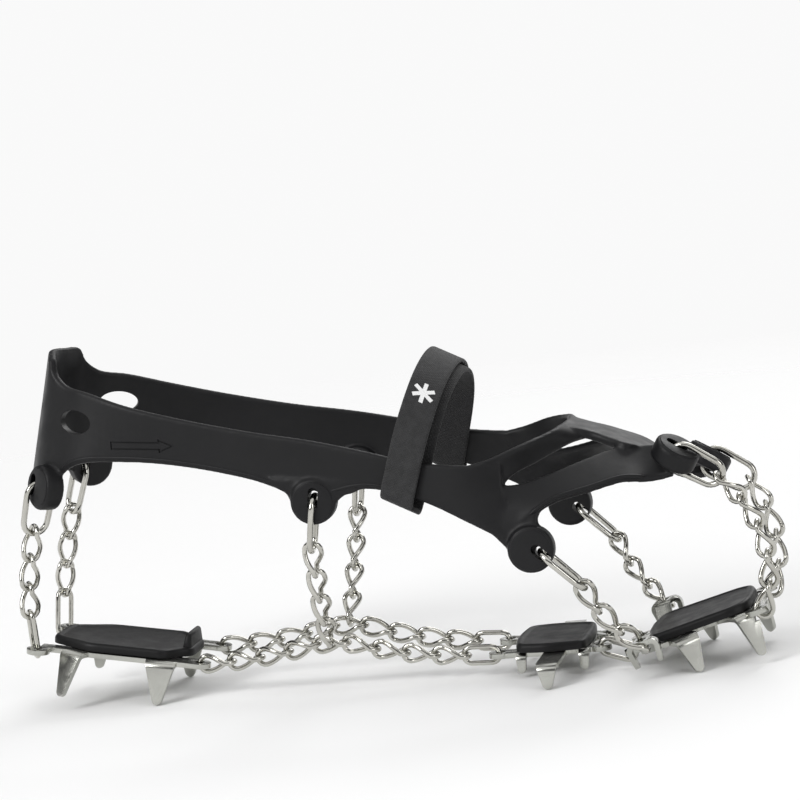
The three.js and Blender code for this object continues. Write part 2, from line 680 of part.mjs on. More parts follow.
function heelPlate() {
  const outline = wholeOutline([[26, -15], [26, -20.5], [13, -20.5], [2, -20.5], [-13, -20.5], [-22, -15]]);
  const bodies = [flatPlate(outline, SHEET)];
  const cuts = [lightening(2)];
  for (const side of Object.values(SIDES)) {
    const at = (x, y) => sided(vec(x, y, 0), side);
    bodies.push(foldedStrip({
      root: at(19.6, -20.5), out: at(0, -1), width: 13.6, tipWidth: 3.4, fold: 1.4, length: 15,
    }));
    bodies.push(foldedStrip({
      root: at(-18.4, -19.6), out: at(-0.45, -0.893).normalize(),
      width: 11.6, tipWidth: 3.4, fold: 1.25, length: 16.4, tail: 5,
    }));
    addEye(bodies, cuts, 'heelRear', side, [6, 20, -24, -15.5]);
    addEye(bodies, cuts, 'heelFront', side, [9, 14, 28, -16.5]);
  }
  return geometryOf(subtract(union(bodies), cuts));
}

function ballPlate() {
  const outline = wholeOutline([[17, -6], [17, -16], [7, -17], [-2, -17], [-14, -16], [-14, -6]]);
  const bodies = [flatPlate(outline, SHEET)];
  const cuts = [lightening(1.5)];
  for (const side of Object.values(SIDES)) {
    const at = (x, y) => sided(vec(x, y, 0), side);
    bodies.push(new THREE.BoxGeometry(9, 26, SHEET).translate(2.7, side * 26, 0));
    bodies.push(foldedStrip({
      root: at(2.7, -38.6), out: at(0, -1), width: 9, tipWidth: 3.4, fold: 1.45, length: 6.8,
    }));
    for (const x of [-11.4, 14.3]) {
      bodies.push(foldedStrip({
        root: at(x, -15.5), out: at(0, -1), width: 4.6, tipWidth: 3.2, fold: 1.45, length: 5,
      }));
    }
    addEye(bodies, cuts, 'ballRear', side, [8, 8, -16, -12.5]);
    addEye(bodies, cuts, 'ballFront', side, [8, 6, 17, -11]);
  }
  return geometryOf(subtract(union(bodies), cuts));
}

// The toe plate's side eye sits on a raised tab, out past the edge of the boot's sole.
function raisedTab(side) {
  const { x, rise } = EYES.toeSide;
  const section = (y, z) => {
    const corner = (sx, sz) => sided(vec(x + (sx * TOE_TAB_WIDTH) / 2, y, z + (sz * SHEET) / 2), side);
    return [corner(-1, -1), corner(1, -1), corner(1, 1), corner(-1, 1)];
  };
  return loft([section(-19, 0), section(-24, 0), section(-31, rise), section(-41.6, rise)]);
}

function toePlate() {
  const outline = wholeOutline([
    [29, -8], [29, -14], [25, -19.5], [17.5, -20.5], [11, -14.5], [2, -14.5],
    [-2, -20], [-7, -25], [-14, -25], [-22, -22], [-22, -6],
  ]);
  const bodies = [flatPlate(outline, SHEET)];
  const cuts = [lightening(8)];
  for (const side of Object.values(SIDES)) {
    const at = (x, y) => sided(vec(x, y, 0), side);
    for (const [x, y, length] of [[-2.5, -26, 11.6], [21.8, -18.8, 15]]) {
      bodies.push(foldedStrip({
        root: at(x, y), out: at(0.5, -0.87).normalize(),
        width: 11, tipWidth: 3.4, fold: 1.5, length, tail: 5,
      }));
    }
    bodies.push(raisedTab(side));
    const { x, y: eyeY, rise, hole } = EYES.toeSide;
    for (const direction of [-1, 1]) {
      const root = sided(vec(x + (direction * TOE_TAB_WIDTH) / 2, -38.8, rise), side);
      bodies.push(foldedStrip({
        root, out: vec(direction, 0, 0), width: 5, tipWidth: 3, fold: 1.7, length: 6.5, tail: 2,
      }));
    }
    cuts.push(disc(sided(vec(x, eyeY, rise), side), UP, hole, 4 * SHEET, 0, 10));
    addEye(bodies, cuts, 'toeRear', side, [8, 8, -22, -11]);
    addEye(bodies, cuts, 'toeFront', side, [9, 12, 24, -16.5]);
  }
  return geometryOf(subtract(union(bodies), cuts));
}

addPiece('heel_plate', heelPlate(), steel(), plateMatrix(PLATES.heel));
addPiece('ball_plate', ballPlate(), steel(), plateMatrix(PLATES.ball));
addPiece('toe_plate', toePlate(), steel(), plateMatrix(PLATES.toe));

// ---- pads ------------------------------------------------------------------------------------------

// Rubber pads under the boot's sole, one on each plate, just clear of the sheet.
function pad(outline, lip) {
  const rise = SHEET / 2 + PAD_GAP + PAD_THICKNESS / 2;
  const slab = flatPlate(wholeOutline(outline), PAD_THICKNESS).translate(0, 0, rise);
  if (!lip) {
    return slab;
  }
  const [x, length, width, height] = lip;
  const wall = new THREE.BoxGeometry(length, width, height + PAD_THICKNESS / 2);
  return geometryOf(union([slab, wall.translate(x, 0, rise + (height + PAD_THICKNESS / 2) / 2)]));
}

// The heel pad ends in a wall that bears against the front of the boot's heel: x, length, width, height
// above the pad's top.
const PAD_LIPS = { heel: [27, 4, 18, 5.6] };

const PAD_OUTLINES = {
  heel: [[30, -9.5], [24, -13.5], [20, -19], [-13, -19], [-22, -14.5], [-31, -10.5]],
  ball: [[16, -5], [15, -18.5], [-1, -20.5], [-13, -18.5], [-15, -5]],
  toe: [[26, -7], [24, -16.5], [18, -20.5], [-4, -21.5], [-16, -21.5], [-19, -6]],
};
for (const [name, outline] of Object.entries(PAD_OUTLINES)) {
  addPiece(`${name}_pad`, pad(outline, PAD_LIPS[name]), padRubber(), plateMatrix(PLATES[name]));
}

// ---- instep strap ----------------------------------------------------------------------------------

// The strap is a flat band, drawn in its own leaning plane: y across the boot, u up the band.
const STRAP_FOOT = vec(6.1, 0, 81.5);
const STRAP_UP = unit(STRAP_FOOT, vec(21.7, 0, 132.3));
const STRAP_ACROSS = vec(0.88, 0, -0.475).normalize();

function strapBand(path, steps, width) {
  const place = ([y, u]) => along(STRAP_FOOT, STRAP_UP, u).setY(y);
  const curve = new THREE.CatmullRomCurve3(path.map(place));
  const points = curve.getPoints(steps);
  const sections = points.map((p, i) => {
    const tangent = unit(points[Math.max(0, i - 1)], points[Math.min(steps, i + 1)]);
    const normal = tangent.clone().cross(STRAP_ACROSS).normalize();
    const corner = (sx, sz) => {
      const edge = along(p, STRAP_ACROSS, (sx * width) / 2);
      return along(edge, normal, (sz * STRAP_THICKNESS) / 2);
    };
    return [corner(-1, -1), corner(1, -1), corner(1, 1), corner(-1, 1)];
  });
  return loft(sections);
}

// Inner band: down the outside of the right arm, under it, over the instep, and out round the left arm.
const STRAP_INNER = [
  [-47.3, 17.5], [-48.3, 9], [-49.2, 1], [-48.2, -2.8], [-45.6, -3.9], [-42.7, -2.7], [-41.4, 1], [-40.2, 9],
  [-39.2, 18], [-37.6, 26.5], [-33, 35.3], [-24.5, 42.6], [-12.8, 47.4], [0, 49.2], [12.8, 47.4],
  [24.5, 42.6], [33, 35.3], [37.6, 26.5], [39.2, 18], [40.2, 9], [41.4, 1], [42.7, -2.7],
  [45.6, -3.9], [48.2, -2.8], [49.2, 1], [48.3, 9], [47.4, 15],
];
// Outer flap: fastens over the inner band and peels off it.
const STRAP_OUTER = [
  [-46.7, 18.6], [-45, 23.5], [-41.4, 29.8], [-34.8, 37.7], [-25.6, 45], [-13.4, 49.9], [0, 51.7],
  [13.4, 49.9], [25.6, 45], [34.8, 37.7], [39, 32.5],
];
addPiece('strap_band', strapBand(STRAP_INNER, 56, STRAP_WIDTH), webbing());
addPiece('strap_flap', strapBand(STRAP_OUTER, 22, STRAP_WIDTH), webbing());

crampon.position.copy(FRAME_SHIFT);
export default crampon;
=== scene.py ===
import json
import math

import bmesh
import bpy
import numpy as np
from mathutils import Matrix, Vector


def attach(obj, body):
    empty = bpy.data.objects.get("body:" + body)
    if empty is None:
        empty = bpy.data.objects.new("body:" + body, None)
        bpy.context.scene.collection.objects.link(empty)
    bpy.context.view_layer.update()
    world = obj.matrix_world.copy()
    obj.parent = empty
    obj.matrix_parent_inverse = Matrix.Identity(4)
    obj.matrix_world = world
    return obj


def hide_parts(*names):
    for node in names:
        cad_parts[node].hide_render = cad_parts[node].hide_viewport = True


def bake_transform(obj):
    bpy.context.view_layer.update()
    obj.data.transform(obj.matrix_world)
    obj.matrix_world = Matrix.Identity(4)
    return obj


# Slip-on chain crampon. Lengths are in millimetres until a mesh is made; +X is the toe, +Y the wearer's left.

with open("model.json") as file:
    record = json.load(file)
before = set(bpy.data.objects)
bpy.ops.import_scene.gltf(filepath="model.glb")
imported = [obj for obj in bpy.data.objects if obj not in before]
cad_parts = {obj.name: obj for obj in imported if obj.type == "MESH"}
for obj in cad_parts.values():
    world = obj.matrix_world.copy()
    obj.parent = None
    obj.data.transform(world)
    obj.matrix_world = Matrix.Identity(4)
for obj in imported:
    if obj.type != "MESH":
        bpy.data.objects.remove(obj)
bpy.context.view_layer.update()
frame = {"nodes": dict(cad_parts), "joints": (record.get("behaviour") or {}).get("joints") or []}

MM = 0.001
SHIFT = np.array([8.61, 0.0, 0.02])  # from the shoe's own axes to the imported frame
SIDES = {"right": -1, "left": 1}

RUBBER_WALL = 3.2
RUBBER_EDGE = 1.2
LUG_RADIUS = 9.3
LUG_THICKNESS = 8.0
SLOT_WIDTH = 3.8
SLOT_LENGTH = 6.2
SLOT_EASE = 0.15  # more room all round than in the CAD, for the rounder wire
SLOT_ABOVE = 1.7  # from the ring's top wire to the slot's upper end
POCKET_ABOVE = 3.4
POCKET_BELOW = 2.0
POCKET_FLOOR = 0.8  # above the middle of the lug's thickness
CAP_INSET = 1.15
CAP_THICKNESS = 3.1
CAP_SINK = 1.25
VOXEL = 0.7
RING_WIRE = 2.5
RING_LENGTH = 25.0
RING_TOP_RADIUS = 5.9
RING_BOTTOM_RADIUS = 5.4
LINK_WIRE = 2.1
LINK_LENGTH = 17.0
LONG_LINK_LENGTH = 22.2
LINK_WIDTH = 8.8
LINK_PLAY = 0.35
LINK_RADIUS = (LINK_WIDTH - LINK_WIRE) / 2
LINK_PITCH = LINK_LENGTH - 2 * LINK_WIRE - LINK_PLAY
LINK_REACH = (LINK_WIRE + LINK_PLAY) / 2
QUARTER = math.pi / 2
SHEET = 2.0
FOLD_RADIUS = 2.4
EYE_HOLE = 1.75
EYE_RADIUS = 4.8
PAD_THICKNESS = 3.4
PAD_GAP = 0.3
TOE_TAB_WIDTH = 6.6
STRAP_THICKNESS = 1.7
ROOT = "crampon"
UP = np.array([0.0, 0.0, 1.0])
CORNERS = ((-1, -1), (1, -1), (1, 1), (-1, 1))  # round the section of a strip of sheet


# ---- vectors and curves ------------------------------------------------------------------------------

def vec(x, y, z):
    return np.array([x, y, z], float)


def normalized(v):
    return v / np.linalg.norm(v)


def unit(a, b):
    return normalized(b - a)


def sided(v, side):
    return vec(v[0], v[1] * -side, v[2])


def perpendicular(v, direction):
    return normalized(v - direction * np.dot(v, direction))


def unchanged(p):
    return p


def turned(v, axis, angle):
    along = axis * np.dot(axis, v)
    return along + (v - along) * math.cos(angle) + np.cross(axis, v) * math.sin(angle)


def smoothstep(low, high, value):
    t = min(1.0, max(0.0, (value - low) / (high - low)))
    return t * t * (3 - 2 * t)


def curve_point(points, t):
    """Point on a centripetal Catmull-Rom curve through the points, t from 0 to 1."""
    last = len(points) - 1
    place = min(last - 1e-9, max(0.0, t * last))
    i = int(place)
    w = place - i
    p1, p2 = points[i], points[i + 1]
    p0 = points[i - 1] if i > 0 else 2 * p1 - p2
    p3 = points[i + 2] if i + 2 <= last else 2 * p2 - p1
    d0, d1, d2 = (max(1e-6, np.linalg.norm(b - a) ** 0.5) for a, b in ((p0, p1), (p1, p2), (p2, p3)))
    m1 = ((p1 - p0) / d0 - (p2 - p0) / (d0 + d1) + (p2 - p1) / d1) * d1
    m2 = ((p2 - p1) / d1 - (p3 - p1) / (d1 + d2) + (p3 - p2) / d2) * d1
    return (
        p1 * (1 - 3 * w * w + 2 * w ** 3) + p2 * (3 * w * w - 2 * w ** 3)
        + m1 * (w - 2 * w * w + w ** 3) + m2 * (w ** 3 - w * w)
    )


def lean_toe(p):
    """The front of the harness leans down towards the little toes."""
    lean = smoothstep(80, 110, p[0]) * smoothstep(-22, 22, p[1])
    return vec(p[0] + 7.3 * lean, p[1], p[2] - 9.6 * lean)


# ---- meshes ------------------------------------------------------------------------------------------

def loft(sections):
    """Vertices and faces of a skin through equal rings of points, with a cap at each end."""
    count = len(sections[0])
    verts = [p for section in sections for p in section]
    last = (len(sections) - 1) * count
    faces = []
    for base in range(0, last, count):
        for j in range(count):
            k = (j + 1) % count
            faces.append((base + j, base + k, base + count + k, base + count + j))
    faces.append(tuple(reversed(range(count))))
    faces.append(tuple(last + j for j in range(count)))
    return verts, faces


def joined(parts):
    verts, faces = [], []
    for part_verts, part_faces in parts:
        base = len(verts)
        verts.extend(part_verts)
        faces.extend(tuple(base + i for i in face) for face in part_faces)
    return verts, faces


def new_object(name, parts, material=None):
    """A mesh object from parts in shoe millimetres, with its faces turned outwards."""
    verts, faces = joined(parts)
    mesh = bpy.data.meshes.new(name)
    mesh.from_pydata([tuple((p + SHIFT) * MM) for p in verts], [], faces)
    bm = bmesh.new()
    bm.from_mesh(mesh)
    bmesh.ops.recalc_face_normals(bm, faces=bm.faces)
    bm.to_mesh(mesh)
    bm.free()
    obj = bpy.data.objects.new(name, mesh)
    bpy.context.scene.collection.objects.link(obj)
    if material:
        mesh.materials.append(material)
    return obj


def apply_modifiers(obj):
    graph = bpy.context.evaluated_depsgraph_get()
    mesh = bpy.data.meshes.new_from_object(obj.evaluated_get(graph))
    old = obj.data
    obj.modifiers.clear()
    obj.data = mesh
    bpy.data.meshes.remove(old)


def smooth_shading(obj, angle):
    obj.data.shade_smooth()
    if angle < 180:
        obj.data.set_sharp_from_angle(angle=math.radians(angle))


def boolean(obj, cutters, operation="DIFFERENCE"):
    """Applies a boolean with each cutter in turn, then removes the cutters."""
    for cutter in cutters:
        modifier = obj.modifiers.new("cut", "BOOLEAN")
        modifier.operation = operation
        modifier.solver = "MANIFOLD"
        modifier.object = cutter
        apply_modifiers(obj)
        bpy.data.objects.remove(cutter)


def disc(centre, normal, radius, thickness, sides, rounding=0.0):
    """A round plate or pin, its rims rounded by the given radius."""
    side = perpendicular(vec(1, 0, 0) if abs(normal[0]) < 0.9 else vec(0, 1, 0), normal)
    other = np.cross(normal, side)

    def ring(r, h):
        angles = [2 * math.pi * i / sides for i in range(sides)]
        return [centre + side * r * math.cos(a) + other * r * math.sin(a) + normal * h for a in angles]

    half = thickness / 2
    if rounding == 0:
        return loft([ring(radius, -half), ring(radius, half)])
    rim = []
    for i in range(4):
        angle = i / 3 * QUARTER
        rim.append((radius - rounding * (1 - math.sin(angle)), rounding * (1 - math.cos(angle))))
    lower = [ring(r, inset - half) for r, inset in rim]
    upper = [ring(r, half - inset) for r, inset in rim]
    return loft(lower + upper[::-1])


def ribbon_frame(stations, t):
    """Both edges of a ribbon at t, the direction across it and its outward normal."""
    a = curve_point([s[0] for s in stations], t)
    b = curve_point([s[1] for s in stations], t)

    def middle(u):
        u = min(1, max(0, u))
        return (curve_point([s[0] for s in stations], u) + curve_point([s[1] for s in stations], u)) / 2

    tangent = unit(middle(t - 0.01), middle(t + 0.01))
    across = unit(b, a)
    return a, b, across, normalized(np.cross(across, tangent))


def ribbon(stations, thickness, steps, reshape=unchanged):
    """A band between two edge curves, rounded along both edges."""
    half = thickness / 2
    angles = [k / 4 * QUARTER for k in range(5)]
    corner = [
        (RUBBER_EDGE * (1 - math.cos(a)), half - RUBBER_EDGE * (1 - math.sin(a)))
        for a in angles
    ]
    sections = []
    for i in range(steps + 1):
        a, b, across, normal = ribbon_frame(stations, i / steps)
        section = [a - across * inset + normal * height for inset, height in corner[::-1]]
        section += [a - across * inset - normal * height for inset, height in corner]
        section += [b + across * inset - normal * height for inset, height in corner[::-1]]
        section += [b + across * inset + normal * height for inset, height in corner]
        sections.append([reshape(p) for p in section])
    return loft(sections)


def tube(points, radii, sides, closed=False):
    """A round wire along points, with its cross-section carried along without twisting."""
    count = len(points)
    sections = []
    normal = None
    for i, p in enumerate(points):
        before = points[i - 1] if (closed or i > 0) else points[i]
        after = points[(i + 1) % count] if (closed or i < count - 1) else points[i]
        tangent = unit(before, after)
        if normal is None:
            normal = perpendicular(UP if abs(tangent[2]) < 0.9 else vec(1, 0, 0), tangent)
        normal = perpendicular(normal, tangent)
        other = np.cross(tangent, normal)
        angles = [2 * math.pi * j / sides for j in range(sides)]
        sections.append([p + (normal * math.cos(a) + other * math.sin(a)) * radii[i] for a in angles])
    if not closed:
        return loft(sections)

    def mismatch(shift):
        return sum(np.linalg.norm(sections[-1][j] - sections[0][(j + shift) % sides]) for j in range(sides))

    drift = min(range(sides), key=mismatch)
    verts, faces = loft(sections)
    faces = faces[:-2]
    last = (count - 1) * sides
    for j in range(sides):
        k = (j + 1) % sides
        faces.append((last + j, last + k, (k + drift) % sides, (j + drift) % sides))
    return verts, faces


# ---- materials ---------------------------------------------------------------------------------------

class Nodes:
    """Short hand for building one node material."""

    def __init__(self, name):
        self.material = bpy.data.materials.new(name)
        self.material.use_nodes = True
        self.tree = self.material.node_tree
        self.shader = self.tree.nodes["Principled BSDF"]

    def add(self, kind, **values):
        node = self.tree.nodes.new(kind)
        for key, value in values.items():
            if hasattr(node, key):
                setattr(node, key, value)
            else:
                node.inputs[key.replace("_", " ")].default_value = value
        return node

    def link(self, source, target):
        self.tree.links.new(source, target)

    def noise(self, scale, detail=4, roughness=0.55, coordinate=None):
        node = self.add("ShaderNodeTexNoise", Scale=scale, Detail=detail, Roughness=roughness)
        self.link(coordinate or self.position, node.inputs["Vector"])
        return node.outputs["Fac"]

    @property
    def position(self):
        if not hasattr(self, "_position"):
            self._position = self.add("ShaderNodeTexCoord").outputs["Object"]
        return self._position

    def spread(self, value, low, high, to_low, to_high):
        node = self.add("ShaderNodeMapRange")
        for index, number in enumerate((low, high, to_low, to_high), 1):
            node.inputs[index].default_value = number
        self.link(value, node.inputs[0])
        return node.outputs[0]

    def ramp(self, value, stops):
        node = self.add("ShaderNodeValToRGB")
        elements = node.color_ramp.elements
        while len(elements) < len(stops):
            elements.new(0.5)
        for element, (place, colour) in zip(elements, stops):
            element.position = place
            element.color = (*colour, 1)
        self.link(value, node.inputs[0])
        return node.outputs[0]

    def math(self, operation, a, b=None):
        node = self.add("ShaderNodeMath", operation=operation)
        for index, value in enumerate((a, b)):
            if value is None:
                continue
            if isinstance(value, (int, float)):
                node.inputs[index].default_value = value
            else:
                self.link(value, node.inputs[index])
        return node.outputs[0]

    def bump(self, height, strength, distance, below=None):
        node = self.add("ShaderNodeBump", Strength=strength, Distance=distance)
        self.link(height, node.inputs["Height"])
        if below:
            self.link(below, node.inputs["Normal"])
        return node.outputs["Normal"]

    def finish(self, colour=None, roughness=None, normal=None, **fixed):
        for value, socket in ((colour, "Base Color"), (roughness, "Roughness"), (normal, "Normal")):
            if value is not None:
                self.link(value, self.shader.inputs[socket])
        for key, value in fixed.items():
            self.shader.inputs[key.replace("_", " ")].default_value = value
        return self.material


def rubber_material(name, dark, light, roughness, grain, shine=0.45):
    n = Nodes(name)
    broad = n.noise(28, 3)
    fine = n.noise(2600, 3, 0.7)
    colour = n.ramp(broad, [(0.3, dark), (0.72, light)])
    gloss = n.spread(n.noise(140, 5), 0.3, 0.7, roughness - 0.07, roughness + 0.08)
    soft = n.bump(broad, 0.25, 0.0006)
    normal = n.bump(fine, grain, 0.00008, soft)
    return n.finish(colour, gloss, normal, Specular_IOR_Level=shine)


def steel_material(name, dark, light, roughness, spread, grain_strength, dent_strength):
    """Bright tumbled steel: fine brushed grain, faint dents and patches that are a little duller."""
    n = Nodes(name)
    tumble = n.noise(300, 5, 0.6)
    broad = n.noise(45, 4)
    stretched = n.add("ShaderNodeMapping", vector_type="TEXTURE")
    stretched.inputs["Scale"].default_value = (0.04, 1, 1)
    n.link(n.position, stretched.inputs["Vector"])
    grain = n.noise(4200, 2, 0.5, stretched.outputs[0])
    colour = n.ramp(n.math("ADD", n.math("MULTIPLY", broad, 0.8), n.math("MULTIPLY", grain, 0.2)),
                    [(0.3, dark), (0.68, light)])
    gloss = n.spread(tumble, 0.3, 0.75, roughness - spread, roughness + spread)
    dents = n.bump(tumble, dent_strength, 0.0001)
    normal = n.bump(grain, grain_strength, 0.00003, dents)
    return n.finish(colour, gloss, normal, Metallic=1.0)


def woven_material(name, dark, light, pitch, strength, sheen):
    """Fabric whose threads run along and across the strap. Its colour has random tone plus painted shade:
    lighter on the thread crowns, darker in the dips between them. The UVs are in metres.
    """
    n = Nodes(name)
    uv = n.add("ShaderNodeTexCoord").outputs["UV"]
    split = n.add("ShaderNodeSeparateXYZ")
    n.link(uv, split.inputs[0])
    turns = 2 * math.pi / pitch
    lengthwise = n.math("SINE", n.math("MULTIPLY", split.outputs["X"], turns))
    crosswise = n.math("SINE", n.math("MULTIPLY", split.outputs["Y"], turns * 0.8))
    weave = n.math("MULTIPLY", lengthwise, crosswise)
    fuzz = n.noise(1500, 5, 0.7)
    height = n.math("ADD", n.math("MULTIPLY", weave, 0.5), fuzz)
    # painted shade: the weave term darkens the colour in the dips between threads, where the bump is low; the
    # noise adds random tone
    tone_and_weave_shade = n.math("ADD", n.math("MULTIPLY", weave, 0.12), n.noise(300, 4))
    colour = n.ramp(tone_and_weave_shade, [(0.3, dark), (0.75, light)])
    gloss = n.spread(fuzz, 0.3, 0.7, 0.72, 0.92)
    normal = n.bump(height, strength, 0.00022)
    return n.finish(colour, gloss, normal, Sheen_Weight=sheen, Sheen_Roughness=0.4)


HARNESS_RUBBER = rubber_material(
    "harness_rubber", (0.004, 0.004, 0.0047), (0.0072, 0.0072, 0.008), 0.48, 0.35, 0.26,
)
PAD_RUBBER = rubber_material(
    "pad_rubber", (0.0025, 0.0025, 0.0028), (0.0048, 0.0048, 0.0052), 0.45, 0.3, 0.25,
)
PRINT = rubber_material("strap_print", (0.72, 0.73, 0.73), (0.82, 0.82, 0.82), 0.5, 0.2)
CHAIN_STEEL = steel_material("chain_steel", (0.4, 0.392, 0.355), (0.6, 0.592, 0.55), 0.12, 0.05, 0.12, 0.1)
PLATE_STEEL = steel_material("plate_steel", (0.36, 0.362, 0.332), (0.52, 0.522, 0.487), 0.22, 0.05, 0.3, 0.08)
STRAP_LOOP = woven_material("strap_loop", (0.013, 0.013, 0.0135), (0.026, 0.026, 0.027), 0.0011, 0.6, 0.08)
STRAP_HOOK = woven_material("strap_hook", (0.005, 0.005, 0.0055), (0.01, 0.01, 0.0105), 0.0014, 0.9, 0.05)


def place_piece(obj, body, slot, *nodes):
    """Makes a finished piece stand for CAD nodes and ride on a body."""
    if nodes:
        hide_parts(*nodes)
    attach(obj, body)



# ---- camera ------------------------------------------------------------------------------------------

CAMERA_PLACE = vec(266.5, -1160.6, 263.2)
CAMERA_AZIMUTH, CAMERA_ELEVATION, CAMERA_ROLL = (math.radians(a) for a in (12.93, 7.11, 6.64))


def add_camera():
    a, e, r = CAMERA_AZIMUTH, CAMERA_ELEVATION, CAMERA_ROLL
    back = vec(math.sin(a) * math.cos(e), -math.cos(a) * math.cos(e), math.sin(e))
    level = vec(math.cos(a), math.sin(a), 0)
    upright = np.cross(back, level)
    right = level * math.cos(r) - upright * math.sin(r)
    top = level * math.sin(r) + upright * math.cos(r)
    data = bpy.data.cameras.new("camera")
    data.sensor_width = 36
    data.lens = 132.35
    data.clip_end = 20
    camera = bpy.data.objects.new("camera", data)
    place = (CAMERA_PLACE + SHIFT) * MM
    rows = [[right[i], top[i], back[i], place[i]] for i in range(3)]
    camera.matrix_world = Matrix([*rows, [0, 0, 0, 1]])
    bpy.context.scene.collection.objects.link(camera)
    bpy.context.scene.camera = camera


add_camera()

# ---- harness -----------------------------------------------------------------------------------------

# Every list is for the right side: upper edge, lower edge. The bar over the toe runs from side to side.
ARM = [
    [vec(47, -41.5, 91.5), vec(47, -50, 62)],
    [vec(31, -44, 92.5), vec(33, -48.5, 70)],
    [vec(12, -43.5, 95.5), vec(15, -46, 79.5)],
    [vec(-8, -42, 101.3), vec(-7, -43.5, 86)],
    [vec(-30, -39.8, 107), vec(-31, -41.5, 84)],
    [vec(-54, -38, 112.1), vec(-56, -39, 93)],
    [vec(-83, -36, 119.5), vec(-85, -36.8, 100.3)],
    [vec(-106, -33.5, 126.4), vec(-109, -35, 103.6)],
    [vec(-123, -28, 132.5), vec(-131, -32.5, 103.5)],
    [vec(-133.5, -22.5, 135.8), vec(-147, -26, 93.5)],
    [vec(-138.3, -19.5, 141), vec(-151.5, -21, 94)],
    [vec(-139.5, -17, 146.5), vec(-154, -16, 95.5)],
    [vec(-142.3, -9, 147.9), vec(-156.3, -8.5, 98.5)],
]
HEEL_MIDDLE = [vec(-144.6, 0, 148.7), vec(-157.3, 0, 100)]
UPPER_BRANCH = [
    [vec(33, -43.5, 92), vec(42, -45.5, 75)],
    [vec(43, -42.5, 94), vec(49, -38.5, 85)],
    [vec(54, -37, 97.3), vec(58.5, -29, 89)],
    [vec(62.5, -25.5, 99.6), vec(69, -18, 92.8)],
    [vec(66.3, -12, 100.3), vec(76, -9, 94.3)],
]
SADDLE_MIDDLE = [vec(66.8, 0, 99.8), vec(78, 0, 95)]
LOWER_BRANCH = [
    [vec(40, -44.5, 84), vec(46, -49, 62)],
    [vec(52, -41, 82.5), vec(58, -48.5, 70.5)],
    [vec(62, -36, 83.8), vec(67, -45.5, 75)],
    [vec(75, -27.5, 87), vec(81, -40.5, 77.7)],
    [vec(88, -17, 89.5), vec(93, -34, 79.5)],
    [vec(99, -12, 90), vec(103, -28, 77.8)],
    [vec(111, -15, 89.8), vec(112, -27, 79)],
]
TOE_BAR = [
    [vec(68, -13, 98.5), vec(68, 13, 98.5)],
    [vec(78, -11.5, 95.3), vec(78, 11.5, 95.3)],
    [vec(86, -15, 92.5), vec(86, 15, 92.5)],
    [vec(93, -19, 90.5), vec(93, 19, 90.5)],
    [vec(98, -15, 88.4), vec(98, 15, 88.4)],
]
# Webs that widen the arm into its middle and ball lugs: rear edge, front edge, from the top down.
WEBS = [
    [
        [vec(-48.1, -40.5, 93.2), vec(-8, -43, 88.8)],
        [vec(-45.5, -41, 89.7), vec(-11.1, -43, 85.6)],
        [vec(-41.3, -41, 86.7), vec(-16.9, -42, 84.1)],
        [vec(-39.8, -41, 83.1), vec(-20.9, -41.5, 81.2)],
        [vec(-39, -41, 79.9), vec(-23.7, -41, 77.4)],
    ],
    [
        [vec(36.6, -47, 72.8), vec(64.6, -46, 75.2)],
        [vec(40.3, -48.7, 66.8), vec(61.3, -47.5, 71.8)],
        [vec(43.6, -49.4, 63.1), vec(60.4, -48.6, 68.9)],
        [vec(46.8, -49.8, 59.4), vec(62.1, -49.4, 65.3)],
        [vec(49.9, -49.8, 54.8), vec(64.9, -49.6, 61.9)],
    ],
]
HEEL_WINDOW = {"centre": vec(-129.3, -30, 121.2), "length": 16, "height": 9.2}
DROPS = {
    "heel": (vec(-147.8, -26.6, 97.4), vec(-155.2, -25, 75.2), 1.2, 4, vec(-0.72, -0.7, 0)),
    "middle": (vec(-29.8, -40.5, 85), vec(-33.4, -41, 63.1), 2.5, 0, vec(0.05, -1, 0.05)),
    "ball": (vec(60, -49.7, 57.4), vec(75.8, -49.3, 41.6), -2.9, -1.5, vec(0.05, -1, 0)),
    "toe": (vec(111, -22, 87.8), vec(130, -22, 75.7), 2.2, 0, vec(0.42, -0.22, 0.88)),
}


def mirrored(stations):
    return [[sided(p, 1) for p in station] for station in stations]


def on_side(stations, side):
    return mirrored(stations) if side == 1 else stations


def across_middle(stations, middle):
    return [*stations, middle, *mirrored(stations)[::-1]]


def drop_frame(place, side):
    top, end, inset, forward, face = DROPS[place]
    ring_top = lean_toe(sided(top, side))
    down = unit(ring_top, lean_toe(sided(end, side)))
    face = perpendicular(sided(face, side), down)
    return {
        "ring_top": ring_top,
        "down": down,
        "face": face,
        "lug": ring_top + down * inset - np.cross(face, down) * side * forward,
    }


def rounded_slot(drop, above, below, inner):
    """A prism with round ends, from a level inside the lug out through its face, for the ring."""
    face, down = drop["face"], drop["down"]
    wide = np.cross(face, down)
    middle = drop["ring_top"] + down * (below - above) / 2
    radius = SLOT_WIDTH / 2 + SLOT_EASE
    straight = (above + below) / 2 - radius
    outline = []
    for i in range(24):
        angle = 2 * math.pi * (i + 0.5) / 24
        shift = straight if math.sin(angle) > 0 else -straight
        outline.append(middle + wide * radius * math.cos(angle) + down * (radius * math.sin(angle) + shift))
    return loft([[p + face * depth for p in outline] for depth in (inner, 1.5 * LUG_THICKNESS)])


def slot_cutters(drop):
    """The slot goes right through below the ring's top. Above it there is a blind pocket."""
    through = rounded_slot(drop, SLOT_ABOVE, SLOT_LENGTH - 0.5, -1.5 * LUG_THICKNESS)
    pocket = rounded_slot(drop, POCKET_ABOVE, POCKET_BELOW, POCKET_FLOOR)
    return [through, pocket]


